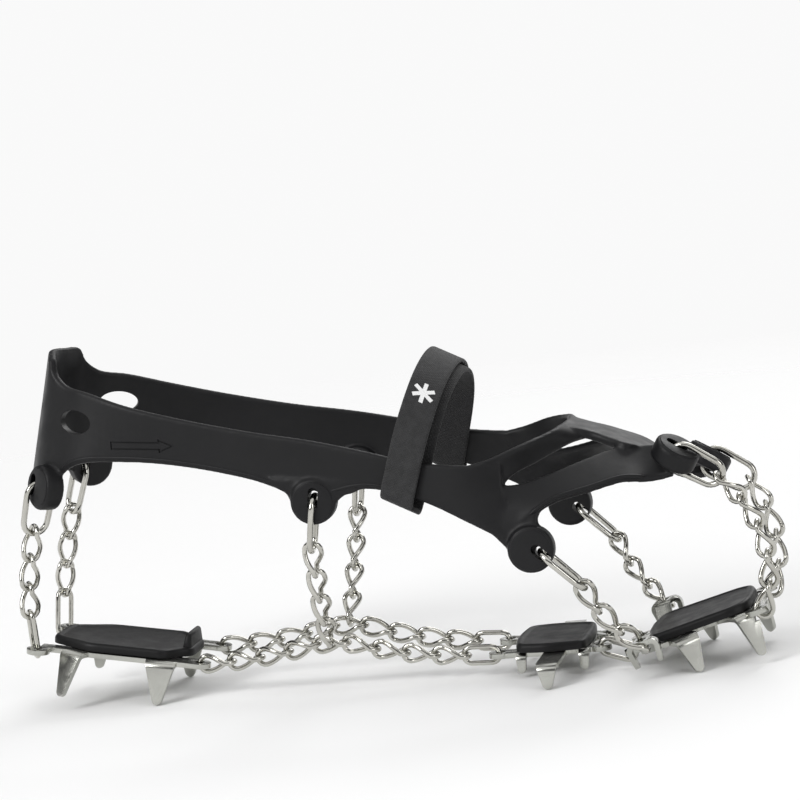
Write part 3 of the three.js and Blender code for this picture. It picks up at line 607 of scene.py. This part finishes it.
def window_ring(side, scale, depth):
    window = HEEL_WINDOW
    face = normalized(sided(vec(-0.35, -1, 0.1), side))
    forward = perpendicular(vec(1, 0, -0.2), face)
    other = np.cross(face, forward)
    centre = sided(window["centre"], side)
    a = window["length"] / 2 * scale
    b = window["height"] / 2 * scale
    angles = [2 * math.pi * i / 48 for i in range(48)]
    return [centre + forward * a * math.cos(t) + other * b * math.sin(t) + face * depth for t in angles]


def window_cut(side):
    """An oval hole that flares outwards."""
    profile = (
        (1.16, -12), (1.0, -1.5), (1.0, 0.1), (1.04, 0.7),
        (1.12, 1.15), (1.28, 1.6), (1.5, 2.1), (1.6, 12),
    )
    return loft([window_ring(side, scale, depth) for scale, depth in profile])


def surface_patch(stations, strokes, depth):
    """Thin slabs that straddle a ribbon's outer face. Strokes are corners in (t, share of the width)."""
    parts = []
    for stroke in strokes:
        rings = []
        for level in (-depth, depth):
            ring = []
            for t, share in stroke:
                a, b, _, normal = ribbon_frame(stations, t)
                outward = normal if normal[1] * a[1] > 0 else -normal
                ring.append(a + (b - a) * share + outward * (RUBBER_WALL / 2 + level))
            rings.append(ring)
        parts.append(loft(rings))
    return parts


def on_arm(stations, x, z):
    """The place (t, share of the width) where the right arm's face has this x and z."""
    low, high = 0.05, 0.45
    share = 0.5
    for _ in range(30):
        t = (low + high) / 2
        upper, lower, _, _ = ribbon_frame(stations, t)
        share = (upper[2] - z) / (upper[2] - lower[2])
        if upper[0] + (lower[0] - upper[0]) * share > x:
            low = t
        else:
            high = t
    return t, share


def arrow_strokes(stations):
    """An outlined arrow on the right arm, pointing to the toe, from straight strokes."""
    tail, neck, tip = 0.0, 20.5, 27.3
    half, barb, line = 1.65, 2.9, 0.6
    strokes = [[(tail, -half), (tail, half), (tail + line, half), (tail + line, -half)]]
    for sign in (-1, 1):
        outer, inner = sign * half, sign * (half - line)
        strokes += [
            [(tail, outer), (neck, outer), (neck, inner), (tail, inner)],
            [(neck, inner), (neck, sign * barb), (neck + line, sign * (barb - line)), (neck + line, inner)],
            [(neck, sign * barb), (tip, 0), (tip - 1.5, 0), (neck, sign * (barb - 0.8))],
        ]
    return [
        [on_arm(stations, -113.3 + u, 110.8 - 0.074 * u + w) for u, w in stroke]
        for stroke in strokes
    ]


def lug_cap(drop):
    """The raised round face of a lug, with a crisp step round it and the slot through it."""
    centre = drop["lug"] + drop["face"] * (LUG_THICKNESS / 2 - CAP_SINK)
    cap = new_object("cap", [disc(centre, drop["face"], LUG_RADIUS - CAP_INSET, CAP_THICKNESS, 56, 0.4)])
    boolean(cap, [new_object("slot", [cutter]) for cutter in slot_cutters(drop)])
    return cap


def edge_bead(stations, start, stop, steps, offset, lift, radius, reshape=unchanged):
    """A thin moulded bead that runs along the lower edge of a ribbon."""
    points = []
    for i in range(steps + 1):
        t = start + (stop - start) * i / steps
        a, b, across, normal = ribbon_frame(stations, t)
        outward = normal if normal[1] * a[1] > 0 else -normal
        points.append(reshape(b + across * offset + outward * (RUBBER_WALL / 2 + lift)))
    radii = [radius * min(1, 0.35 + 3 * min(i, steps - i) / steps * 4) for i in range(steps + 1)]
    return tube(points, radii, 8)


def build_harness():
    arm = across_middle(ARM, HEEL_MIDDLE)
    upper = across_middle(UPPER_BRANCH, SADDLE_MIDDLE)
    parts = [
        ribbon(arm, RUBBER_WALL, 180),
        ribbon(upper, RUBBER_WALL, 60),
        ribbon(TOE_BAR, RUBBER_WALL + 0.6, 16, lean_toe),
    ]
    cutters, slots, caps, beads = [], [], [], []
    for side in SIDES.values():
        branch = on_side(LOWER_BRANCH, side)
        parts.append(ribbon(branch, RUBBER_WALL, 36, lean_toe))
        for web in WEBS:
            parts.append(ribbon(on_side(web, side), RUBBER_WALL, 24))
        for place in DROPS:
            drop = drop_frame(place, side)
            parts.append(disc(drop["lug"], drop["face"], LUG_RADIUS, LUG_THICKNESS, 48, 1.2))
            slots.extend(slot_cutters(drop))
            caps.append(lug_cap(drop))
        cutters.append(window_cut(side))
    harness = new_object("harness_visual", parts)
    remesh = harness.modifiers.new("weld", "REMESH")
    remesh.mode = "VOXEL"
    remesh.voxel_size = VOXEL * MM
    apply_modifiers(harness)
    smooth = harness.modifiers.new("soften", "SMOOTH")
    smooth.factor = 0.5
    smooth.iterations = 7
    apply_modifiers(harness)
    strokes = arrow_strokes(arm)
    flipped = [[(1 - t, share) for t, share in stroke] for stroke in strokes]
    cutters += surface_patch(arm, [*strokes, *flipped], 0.55)
    boolean(harness, [new_object("cutter", [cutter]) for cutter in [*slots, *cutters]])
    for side in SIDES.values():
        branch = on_side(LOWER_BRANCH, side)
        beads.append(edge_bead(branch, 0.16, 0.8, 40, 0.9, -0.25, 0.95, lean_toe))
    beads.append(edge_bead(arm, 0.093, 0.325, 90, 1.9, -0.4, 0.8))
    beads.append(edge_bead(arm, 0.675, 0.907, 90, 1.9, -0.4, 0.8))
    bead = new_object("bead", beads)
    boolean(bead, [new_object("slot", [cutter]) for cutter in slots])
    merge_into(harness, [*caps, bead])
    harness.data.materials.clear()
    harness.data.materials.append(HARNESS_RUBBER)
    smooth_shading(harness, 46)
    place_piece(harness, ROOT, "harness_rubber", "harness")


def merge_into(target, others):
    bm = bmesh.new()
    bm.from_mesh(target.data)
    for other in others:
        bm.from_mesh(other.data)
    bm.to_mesh(target.data)
    bm.free()
    for other in others:
        bpy.data.objects.remove(other)


build_harness()

# ---- wire loops --------------------------------------------------------------------------------------

def loop_points(length, top_radius, bottom_radius, twist, arc_steps=9):
    """Centreline of a closed loop that hangs along -Z, its lower end turned about Z by twist."""
    rod_steps = 7
    reach = length - top_radius - bottom_radius
    slope = math.asin((top_radius - bottom_radius) / reach)
    top_centre = length / 2 - top_radius
    bottom_centre = bottom_radius - length / 2
    upper, lower = [], []
    for i in range(arc_steps + 1):
        angle = -slope + i / arc_steps * (math.pi + 2 * slope)
        upper.append((top_radius * math.cos(angle), top_centre + top_radius * math.sin(angle)))
        angle = math.pi + slope + i / arc_steps * (math.pi - 2 * slope)
        lower.append((bottom_radius * math.cos(angle), bottom_centre + bottom_radius * math.sin(angle)))

    def rod(a, b):
        return [tuple(np.array(a) + (np.array(b) - np.array(a)) * i / rod_steps) for i in range(1, rod_steps)]

    flat = [*upper, *rod(upper[-1], lower[0]), *lower, *rod(lower[-1], upper[0])]
    points = []
    for across, height in flat:
        angle = twist * min(1, max(0, 0.5 - height / (length - 2 * bottom_radius)))
        points.append(vec(across * math.cos(angle), across * math.sin(angle), height))
    return points


def wire_loop(points, wire, weld_at):
    """A closed wire with the small swelling of its weld."""
    radii = []
    for p in points:
        distance = np.linalg.norm(p - points[weld_at])
        radii.append(wire / 2 * (1 + 0.05 * math.exp(-(distance / 1.5) ** 2)))
    return tube(points, radii, 12, True)


def placed(part, origin, x, z):
    y = np.cross(z, x)
    return [origin + x * p[0] + y * p[1] + z * p[2] for p in part[0]], part[1]


def link_part(length, twist):
    points = loop_points(length - LINK_WIRE, LINK_RADIUS, LINK_RADIUS, twist)
    return wire_loop(points, LINK_WIRE, 13)


RING_PART = wire_loop(
    loop_points(RING_LENGTH - RING_WIRE, RING_TOP_RADIUS, RING_BOTTOM_RADIUS, 0, 12), RING_WIRE, 15,
)
LINK_PARTS = {
    1: link_part(LINK_LENGTH, QUARTER),
    -1: link_part(LINK_LENGTH, -QUARTER),
    0: link_part(LINK_LENGTH, 0),
}
LONG_LINK_PART = link_part(LONG_LINK_LENGTH, 0)


def measured_loop(node, down=None):
    """Middle, upper lateral direction and upward axis of a CAD loop, from its own vertices."""
    mesh = frame["nodes"][node].data
    points = np.array([v.co for v in mesh.vertices]) / MM - SHIFT
    unique = np.unique(np.round(points, 3), axis=0)
    middle = unique.mean(axis=0)
    _, _, axes = np.linalg.svd(unique - middle)
    axis = axes[0]
    if down is not None and np.dot(axis, down) > 0:
        axis = -axis
    heights = (unique - middle) @ axis
    upper = unique[heights > heights.max() * 0.62] - middle
    flat = upper - np.outer(upper @ axis, axis)
    _, _, laterals = np.linalg.svd(flat)
    return middle, perpendicular(laterals[0], axis), axis


def build_loops():
    joints = {joint["child"]: joint for joint in frame["joints"]}
    for node in frame["nodes"]:
        words = node.split("_")
        if words[0] not in ("ring", "link", "plate", "junction"):
            continue
        side = SIDES["left"] if "left" in words else SIDES["right"]
        down = np.array(joints[node]["axis"]) if node in joints else None
        middle, lateral, axis = measured_loop(node, down)
        if words[0] == "ring":
            part = RING_PART
        elif words[0] == "plate":
            part = LINK_PARTS[0]
        elif words[0] == "junction":
            part = LINK_PARTS[side]
        elif words[1] == "heel" and words[-1] == "4":
            part = LONG_LINK_PART
        else:
            part = LINK_PARTS[-side]
        obj = new_object(node + "_visual", [placed(part, middle, lateral, axis)], CHAIN_STEEL)
        smooth_shading(obj, 180)
        place_piece(obj, node if node in joints else ROOT, "chain_steel", node)


build_loops()

# ---- chains under the boot ---------------------------------------------------------------------------

PLATES = {"heel": (vec(-128, 0, 20.1), 9.7), "ball": (vec(53, 0, 9), 0.0), "toe": (vec(112, 0, 13.9), -15.6)}
EYES = {
    "heelRear": ("heel", vec(-33.6, -21.4, 0), 1.75, vec(-0.588, 0.809, 0)),
    "heelFront": ("heel", vec(34.8, -16.5, 0), 2.25, vec(1, 0, 0)),
    "ballRear": ("ball", vec(-20.6, -12.5, 0), 2.05, vec(-1, 0, 0)),
    "ballFront": ("ball", vec(20, -11, 0), 1.75, vec(1, 0, 0)),
    "toeRear": ("toe", vec(-25.3, -11, 0), 2.3, vec(-1, 0, 0)),
    "toeSide": ("toe", vec(-16.7, -37.6, 6.4), 2.15, vec(0, -1, 0)),
    "toeFront": ("toe", vec(27.4, -20, 0), 2.45, vec(1, 0, 0)),
}
WIRE_INSET = EYE_HOLE - LINK_PLAY - LINK_WIRE / 2
JUNCTION = vec(-36.5, -16.5, 19.2)
REAR_LINKS = 4
FRONT_LINKS = 5


def on_plate(plate, p):
    centre, pitch = PLATES[plate]
    a = math.radians(pitch)
    x = p[0] * math.cos(a) + p[2] * math.sin(a)
    z = p[2] * math.cos(a) - p[0] * math.sin(a)
    return centre + vec(x, p[1], z)


def eye_point(name, side, inset):
    plate, place, _, bar = EYES[name]
    return on_plate(plate, sided(place + bar * inset, side))


def arc_points(start, end, count, bulge):
    """Hooks of a chain of equal links that hangs in an arc between two points."""
    chord = np.linalg.norm(end - start)
    length = count * LINK_PITCH
    low, high = 1e-4, math.pi
    for _ in range(60):
        half = (low + high) / 2
        if math.sin(half) / half > chord / length:
            low = half
        else:
            high = half
    radius = length / (2 * low)
    forward = unit(start, end)
    out = perpendicular(bulge, forward)
    centre = (start + end) / 2 - out * radius * math.cos(low)
    angles = [(2 * i / count - 1) * low for i in range(count + 1)]
    return [centre + forward * radius * math.sin(a) + out * radius * math.cos(a) for a in angles]


def placed_link(part, start, end, face, twist):
    down = unit(start, end)
    upper = turned(perpendicular(face, down), down, twist)
    return placed(part, (start + end) / 2, perpendicular(upper, down), -down)


def build_ground_chains():
    flat = vec(0, 1, 0)
    for side_name, side in SIDES.items():
        junction = sided(JUNCTION, side)
        rear_eye = eye_point("heelFront", side, WIRE_INSET)
        front_eye = eye_point("ballRear", side, WIRE_INSET)
        rear_run = unit(junction, rear_eye)
        front_run = unit(junction, front_eye)
        axis = normalized(front_run - rear_run)
        half_link = axis * LINK_PITCH / 2
        rear = arc_points(rear_eye - rear_run * LINK_REACH, junction - half_link, REAR_LINKS, -UP)
        front = arc_points(junction + half_link, front_eye - front_run * LINK_REACH, FRONT_LINKS, -UP)
        for label, hooks in (("rear", rear), ("front", front)):
            parts = []
            for i in range(len(hooks) - 1):
                if label == "front" and i == FRONT_LINKS - 1:
                    parts.append(placed_link(LINK_PARTS[0], hooks[i], hooks[i + 1], UP, 0))
                else:
                    parts.append(placed_link(LINK_PARTS[side], hooks[i], hooks[i + 1], flat, side * QUARTER))
            name = f"ground_chain_{label}_{side_name}"
            obj = new_object(name + "_visual", parts, CHAIN_STEEL)
            smooth_shading(obj, 180)
            place_piece(obj, name, "chain_steel", name)


build_ground_chains()

# ---- plates ------------------------------------------------------------------------------------------

def folded_strip(root, out, width, tip, fold, length, tail):
    """A spike or tab of sheet that leaves a plate at root and bends down by fold."""
    across = normalized(np.cross(out, UP))
    arc_steps = 9
    arc_length = FOLD_RADIUS * abs(fold)
    total = arc_length + length

    def heading(angle):
        return out * math.cos(angle) - UP * math.sin(angle)

    stations = [(root - out * tail, 0.0, width)]
    centre = root
    for i in range(arc_steps + 1):
        angle = fold * i / arc_steps
        if i:
            centre = centre + heading(angle - fold / (2 * arc_steps)) * arc_length / arc_steps
        share = arc_length * i / arc_steps / total
        stations.append((centre, angle, width + (tip - width) * share))
    tip_round = tip / 2
    for k in range(8):
        distance = length - tip_round * (1 - math.sin(k / 7 * QUARTER))
        past = math.sin(k / 7 * QUARTER)
        local = width + (tip - width) * (arc_length + distance) / total
        narrowing = math.sqrt(max(0.06, 1 - past * past))
        stations.append((centre + heading(fold) * distance, fold, local * narrowing))
    sections = []
    for place, angle, w in stations:
        up = -heading(angle + QUARTER)
        sections.append([place + across * sx * w / 2 + up * sz * SHEET / 2 for sx, sz in CORNERS])
    return loft(sections)


def fillet(outline, radius, steps=6):
    """The outline with each corner rounded."""
    rounded = []
    count = len(outline)
    for i, corner in enumerate(outline):
        corner = np.array(corner, float)
        before = np.array(outline[i - 1], float)
        after = np.array(outline[(i + 1) % count], float)
        a, b = before - corner, after - corner
        reach = min(radius, np.linalg.norm(a) * 0.45, np.linalg.norm(b) * 0.45)
        a, b = normalized(a) * reach, normalized(b) * reach
        for k in range(steps + 1):
            t = k / steps
            rounded.append(corner + a * (1 - t) ** 2 + b * t * t)
    return rounded


def slab(outline, radius):
    """A flat piece of sheet with rounded corners."""
    points = fillet(outline, radius)
    return loft([[vec(x, y, z) for x, y in points] for z in (-SHEET / 2, SHEET / 2)])


def block(x0, x1, y0, y1):
    return slab([(x0, y0), (x1, y0), (x1, y1), (x0, y1)], 0.4)


def whole(half):
    return [*half, *[(x, -y) for x, y in half[::-1]]]


def build_plate(plate, outline, strips, blocks, eyes, openings, extra):
    """One stamped plate: flat bodies, folded spikes and eyes joined, holes cut, edges eased."""
    bodies = [slab(whole(outline), 2.2)]
    holes = [disc(vec(x, 0, 0), UP, radius, 12, 48) for x, radius in openings]
    for side in SIDES.values():
        def at(x, y, z=0.0):
            return sided(vec(x, y, z), side)

        for x, y, z, out_x, out_y, width, tip, fold, length, tail in strips:
            out = normalized(at(out_x, out_y))
            bodies.append(folded_strip(at(x, y, z), out, width, tip, fold, length, tail))
        for x0, x1, y0, y1 in blocks:
            low, high = sorted((-side * y0, -side * y1))
            bodies.append(block(x0, x1, low, high))
        for name in eyes:
            _, place, hole, _ = EYES[name]
            if place[2] == 0:
                bodies.append(disc(at(*place), UP, EYE_RADIUS, SHEET, 40))
            holes.append(disc(at(*place), UP, hole, 8, 32))
        bodies.extend(part(side) for part in extra)

    def tilted(part):
        return [on_plate(plate, p) for p in part[0]], part[1]

    obj = new_object(plate + "_plate_visual", [tilted(bodies[0])])
    boolean(obj, [new_object("body", [tilted(part)]) for part in bodies[1:]], "UNION")
    boolean(obj, [new_object("hole", [tilted(part)]) for part in holes])
    bm = bmesh.new()
    bm.from_mesh(obj.data)
    bmesh.ops.remove_doubles(bm, verts=bm.verts, dist=0.02 * MM)
    bmesh.ops.dissolve_limit(bm, angle_limit=math.radians(0.6), verts=bm.verts, edges=bm.edges)
    bm.to_mesh(obj.data)
    bm.free()
    bevel = obj.modifiers.new("ease", "BEVEL")
    bevel.width = 0.32 * MM
    bevel.segments = 3
    bevel.limit_method = "ANGLE"
    bevel.angle_limit = math.radians(38)
    bevel.use_clamp_overlap = True
    apply_modifiers(obj)
    obj.data.materials.clear()
    obj.data.materials.append(PLATE_STEEL)
    smooth_shading(obj, 24)
    place_piece(obj, ROOT, "plate_steel", plate + "_plate")


def raised_tab(side):
    x, rise = EYES["toeSide"][1][0], EYES["toeSide"][1][2]

    def section(y, z):
        return [sided(vec(x + sx * TOE_TAB_WIDTH / 2, y, z + sz * SHEET / 2), side) for sx, sz in CORNERS]

    heights = [(-19, 0)]
    for k in range(9):
        heights.append((-24 - 7 * k / 8, rise * smoothstep(0, 1, k / 8)))
    heights.append((-41.6, rise))
    return loft([section(y, z) for y, z in heights])


def build_plates():
    build_plate(
        "heel",
        [(26, -15), (26, -20.5), (13, -20.5), (2, -20.5), (-13, -20.5), (-22, -15)],
        [
            (19.6, -20.5, 0, 0, -1, 13.6, 3.2, 1.4, 15, 3),
            (-18.4, -19.6, 0, -0.45, -0.893, 11.6, 3.2, 1.25, 16.4, 5),
        ],
        [(-34, -14, -18.5, -12.5), (21, 35, -21, -12)],
        ["heelRear", "heelFront"], [(2, 7)], [],
    )
    build_plate(
        "ball",
        [(17, -6), (17, -16), (7, -17), (-2, -17), (-14, -16), (-14, -6)],
        [
            (2.7, -38.6, 0, 0, -1, 9, 3.2, 1.45, 6.8, 3),
            (-11.4, -15.5, 0, 0, -1, 4.6, 3, 1.45, 5, 3),
            (14.3, -15.5, 0, 0, -1, 4.6, 3, 1.45, 5, 3),
        ],
        [(-1.8, 7.2, -39, -13), (-20, -12, -16.5, -8.5), (14, 20, -15, -7)],
        ["ballRear", "ballFront"], [(1.5, 7)], [],
    )
    tab_x, tab_rise = EYES["toeSide"][1][0], EYES["toeSide"][1][2]
    half_tab = TOE_TAB_WIDTH / 2
    build_plate(
        "toe",
        [
            (29, -8), (29, -14), (25, -19.5), (17.5, -20.5), (11, -14.5), (2, -14.5),
            (-2, -20), (-7, -25), (-14, -25), (-22, -22), (-22, -6),
        ],
        [
            (-2.5, -26, 0, 0.5, -0.87, 11, 3.2, 1.5, 11.6, 5),
            (21.8, -18.8, 0, 0.5, -0.87, 11, 3.2, 1.5, 15, 5),
            (tab_x - half_tab, -38.8, tab_rise, -1, 0, 5, 2.8, 1.7, 6.5, 2),
            (tab_x + half_tab, -38.8, tab_rise, 1, 0, 5, 2.8, 1.7, 6.5, 2),
        ],
        [(-26, -18, -15, -7), (18, 30, -21, -12)],
        ["toeRear", "toeFront", "toeSide"], [(8, 7)], [raised_tab],
    )


build_plates()

# ---- pads --------------------------------------------------------------------------------------------

PAD_OUTLINES = {
    "heel": [(30, -9.5), (24, -13.5), (20, -19), (-13, -19), (-22, -14.5), (-31, -10.5)],
    "ball": [(16, -5), (15, -18.5), (-1, -20.5), (-13, -18.5), (-15, -5)],
    "toe": [(26, -7), (24, -16.5), (18, -20.5), (-4, -21.5), (-16, -21.5), (-19, -6)],
}


def heel_wall(foot):
    """The wall at the front of the heel pad: thick at its foot, rounded along its top."""
    profile = [(-2.0, foot)]
    round_top = [i / 8 * math.pi for i in range(9)]
    profile += [(-1.35 * math.cos(a), foot + 5.9 + 1.35 * math.sin(a)) for a in round_top]
    profile += [(2.0, foot)]
    sections = []
    for y in (-9.0, -8.8, -8.2, -7.2, 7.2, 8.2, 8.8, 9.0):
        sink = 4.5 * max(0.0, (abs(y) - 7.2) / 1.8) ** 2
        sections.append([on_plate("heel", vec(27 + x, y, max(foot, z - sink))) for x, z in profile])
    return loft(sections)


def build_pad(plate, half):
    """A moulded pad: rounded shoulders, a shallow dished top and a raised lip."""
    outline = [np.array(p) for p in fillet(whole(half), 4, 8)]
    centre = sum(outline) / len(outline)
    base = SHEET / 2 + PAD_GAP
    profile = [
        (0.0, 0.0), (0.0, 1.9), (0.35, 2.75), (0.95, 3.25),
        (1.7, PAD_THICKNESS), (2.5, PAD_THICKNESS), (3.1, 3.1), (4.2, 3.0),
    ]
    sections = []
    for inset, height in profile:
        ring = []
        for p in outline:
            inward = centre - p
            ring.append(on_plate(plate, vec(*(p + inward / np.linalg.norm(inward) * inset), base + height)))
        sections.append(ring)
    parts = [loft(sections)]
    if plate == "heel":
        parts.append(heel_wall(base + PAD_THICKNESS / 2))
    obj = new_object(plate + "_pad_visual", parts, PAD_RUBBER)
    smooth_shading(obj, 50)
    place_piece(obj, ROOT, "pad_rubber", plate + "_pad")


for pad_plate, pad_half in PAD_OUTLINES.items():
    build_pad(pad_plate, pad_half)

# ---- instep strap ------------------------------------------------------------------------------------

STRAP_FOOT = vec(6.1, 0, 81.5)
STRAP_UP = unit(STRAP_FOOT, vec(21.7, 0, 132.3))
STRAP_ACROSS = normalized(vec(0.88, 0, -0.475))
STRAP_INNER = [
    (-48.2, -1.2), (-45.6, -2.3), (-42.7, -1.1), (-41.4, 2), (-40.2, 9),
    (-39.2, 18), (-37.6, 26.5), (-33, 35.3), (-24.5, 42.6), (-12.8, 47.4), (0, 49.2), (12.8, 47.4),
    (24.5, 42.6), (33, 35.3), (37.6, 26.5), (39.2, 18), (40.2, 9), (41.4, 2), (42.7, -1.1),
    (45.6, -2.3), (48.2, -1.2), (49.2, 2), (48.3, 9), (47.4, 15),
]
STRAP_OUTER = [
    (-45.0, -2.5), (-48.2, -1.2), (-49.2, 2), (-48.3, 9), (-46.9, 17.5), (-45, 23.5), (-41.4, 29.8),
    (-34.8, 37.7), (-25.6, 45), (-13.4, 49.9), (0, 51.7), (13.4, 49.9), (25.6, 45), (34.8, 37.7), (39, 32.5),
]


def strap_place(y, u):
    return vec(STRAP_FOOT[0], y, STRAP_FOOT[2]) + STRAP_UP * u


def strap_frames(path, steps):
    """Points, normals and distances along a strap's path."""
    points3 = [strap_place(y, u) for y, u in path]
    points = [curve_point(points3, i / steps) for i in range(steps + 1)]
    frames, travelled = [], 0.0
    for i, p in enumerate(points):
        tangent = unit(points[max(0, i - 1)], points[min(steps, i + 1)])
        travelled += np.linalg.norm(p - points[i - 1]) if i else 0.0
        frames.append((p, normalized(np.cross(tangent, STRAP_ACROSS)), travelled))
    return frames


def strap_object(name, path, steps, width, offset, material):
    """A soft-edged band with UVs in metres along and across it."""
    frames = strap_frames(path, steps)
    half, edge = STRAP_THICKNESS / 2, STRAP_THICKNESS * 0.42
    profile = []
    for i in range(13):
        profile.append((-width / 2 + edge + (width - 2 * edge) * i / 12, half))
    for k in range(1, 5):
        a = k / 5 * math.pi
        profile.append((width / 2 - edge + edge * math.sin(a), half * math.cos(a)))
    for i in range(13):
        profile.append((width / 2 - edge - (width - 2 * edge) * i / 12, -half))
    for k in range(1, 5):
        a = k / 5 * math.pi
        profile.append((-width / 2 + edge - edge * math.sin(a), -half * math.cos(a)))
    sections, uvs = [], []
    for p, normal, travelled in frames:
        sections.append([p + STRAP_ACROSS * (offset + v) + normal * h for v, h in profile])
        uvs.extend((travelled * MM, v * MM) for v, h in profile)
    verts, faces = loft(sections)
    mesh = bpy.data.meshes.new(name)
    mesh.from_pydata([tuple((p + SHIFT) * MM) for p in verts], [], faces)
    layer = mesh.uv_layers.new(name="strap")
    for loop in mesh.loops:
        layer.data[loop.index].uv = uvs[loop.vertex_index]
    bm = bmesh.new()
    bm.from_mesh(mesh)
    bmesh.ops.recalc_face_normals(bm, faces=bm.faces)
    bm.to_mesh(mesh)
    bm.free()
    mesh.materials.append(material)
    obj = bpy.data.objects.new(name, mesh)
    bpy.context.scene.collection.objects.link(obj)
    smooth_shading(obj, 60)
    return obj, frames


def frame_at(frames, distance):
    for (p, n, d), (q, m, e) in zip(frames, frames[1:]):
        if d <= distance <= e:
            w = (distance - d) / max(1e-9, e - d)
            return p + (q - p) * w, normalized(n + (m - n) * w)
    return frames[-1][0], frames[-1][1]


def strap_bar(frames, distance, offset, turn, length, width):
    """A thin printed bar on the strap's face, turned about its own middle."""
    cells = 10
    sections = []
    for i in range(cells + 1):
        u = length * (i / cells - 0.5)
        corners = []
        for v, height in ((-width / 2, -0.3), (width / 2, -0.3), (width / 2, 0.1), (-width / 2, 0.1)):
            s = distance + u * math.cos(turn) - v * math.sin(turn)
            across = u * math.sin(turn) + v * math.cos(turn)
            p, normal = frame_at(frames, s)
            out = normal if np.dot(normal, p - strap_place(0, 10)) > 0 else -normal
            corners.append(p + STRAP_ACROSS * (offset + across) + out * (STRAP_THICKNESS / 2 + height))
        sections.append(corners)
    return loft(sections)


def build_strap():
    inner, _ = strap_object("strap_inner_visual", STRAP_INNER, 220, 16.4, 0.9, STRAP_HOOK)
    place_piece(inner, ROOT, "webbing", "strap_band")
    outer, frames = strap_object("strap_outer_visual", STRAP_OUTER, 200, 14.0, -0.9, STRAP_LOOP)
    bars = [strap_bar(frames, 50.0, -0.9, turn, 9.6, 1.7) for turn in (0.0, math.pi / 3, 2 * math.pi / 3)]
    marks = new_object("marks", bars, PRINT)
    outer.data.materials.append(PRINT)
    first = len(outer.data.polygons)
    merge_into(outer, [marks])
    for polygon in outer.data.polygons[first:]:
        polygon.material_index = 1
    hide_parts("strap_flap")
    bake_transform(outer)


build_strap()

# ---- studio ------------------------------------------------------------------------------------------

def build_studio():
    floor_mesh = bpy.data.meshes.new("floor")
    reach = 1.4
    corners = [(-reach, -reach, 0), (reach, -reach, 0), (reach, reach, 0), (-reach, reach, 0)]
    floor_mesh.from_pydata(corners, [], [(0, 1, 2, 3)])
    floor = bpy.data.objects.new("floor", floor_mesh)
    bpy.context.scene.collection.objects.link(floor)
    n = Nodes("floor")
    tone = n.ramp(n.noise(1.2, 2), [(0.3, (0.9, 0.9, 0.9)), (0.7, (0.93, 0.93, 0.93))])
    distance = n.add("ShaderNodeVectorMath", operation="LENGTH")
    n.link(n.position, distance.inputs[0])
    fade = n.spread(distance.outputs["Value"], 0.3, 1.1, 1.0, 0.0)
    n.link(fade, n.shader.inputs["Alpha"])
    floor_mesh.materials.append(n.finish(tone, None, None, Roughness=0.85))

    world = bpy.data.worlds.new("studio")
    bpy.context.scene.world = world
    world.use_nodes = True
    tree = world.node_tree
    coordinates = tree.nodes.new("ShaderNodeTexCoord")
    split = tree.nodes.new("ShaderNodeSeparateXYZ")
    ramp = tree.nodes.new("ShaderNodeValToRGB")
    tree.links.new(coordinates.outputs["Generated"], split.inputs[0])
    tree.links.new(split.outputs["Z"], ramp.inputs[0])
    stops = [(0.0, 1.0), (0.2, 1.0), (0.27, 0.05), (0.62, 0.1), (0.74, 1.0)]
    elements = ramp.color_ramp.elements
    while len(elements) < len(stops):
        elements.new(0.5)
    for element, (place, grey) in zip(elements, stops):
        element.position = place
        element.color = (grey, grey, grey, 1)
    tree.links.new(ramp.outputs[0], tree.nodes["Background"].inputs["Color"])
    tree.nodes["Background"].inputs["Strength"].default_value = 0.95

    lamps = (
        ("key", (-1.2, -1.4, 1.3), 1.0, 25),
        ("fill", (1.5, -1.1, 0.9), 0.8, 6),
        ("rim", (0.4, 1.6, 1.3), 1.2, 14),
    )
    for name, place, size, power in lamps:
        data = bpy.data.lights.new(name, "AREA")
        data.shape = "DISK"
        data.size = size
        data.energy = power
        lamp = bpy.data.objects.new(name, data)
        lamp.location = place
        direction = Vector((0, 0, 0.07)) - Vector(place)
        lamp.rotation_euler = direction.to_track_quat("-Z", "Y").to_euler()
        bpy.context.scene.collection.objects.link(lamp)
    bpy.context.scene.view_settings.view_transform = "Standard"


build_studio()
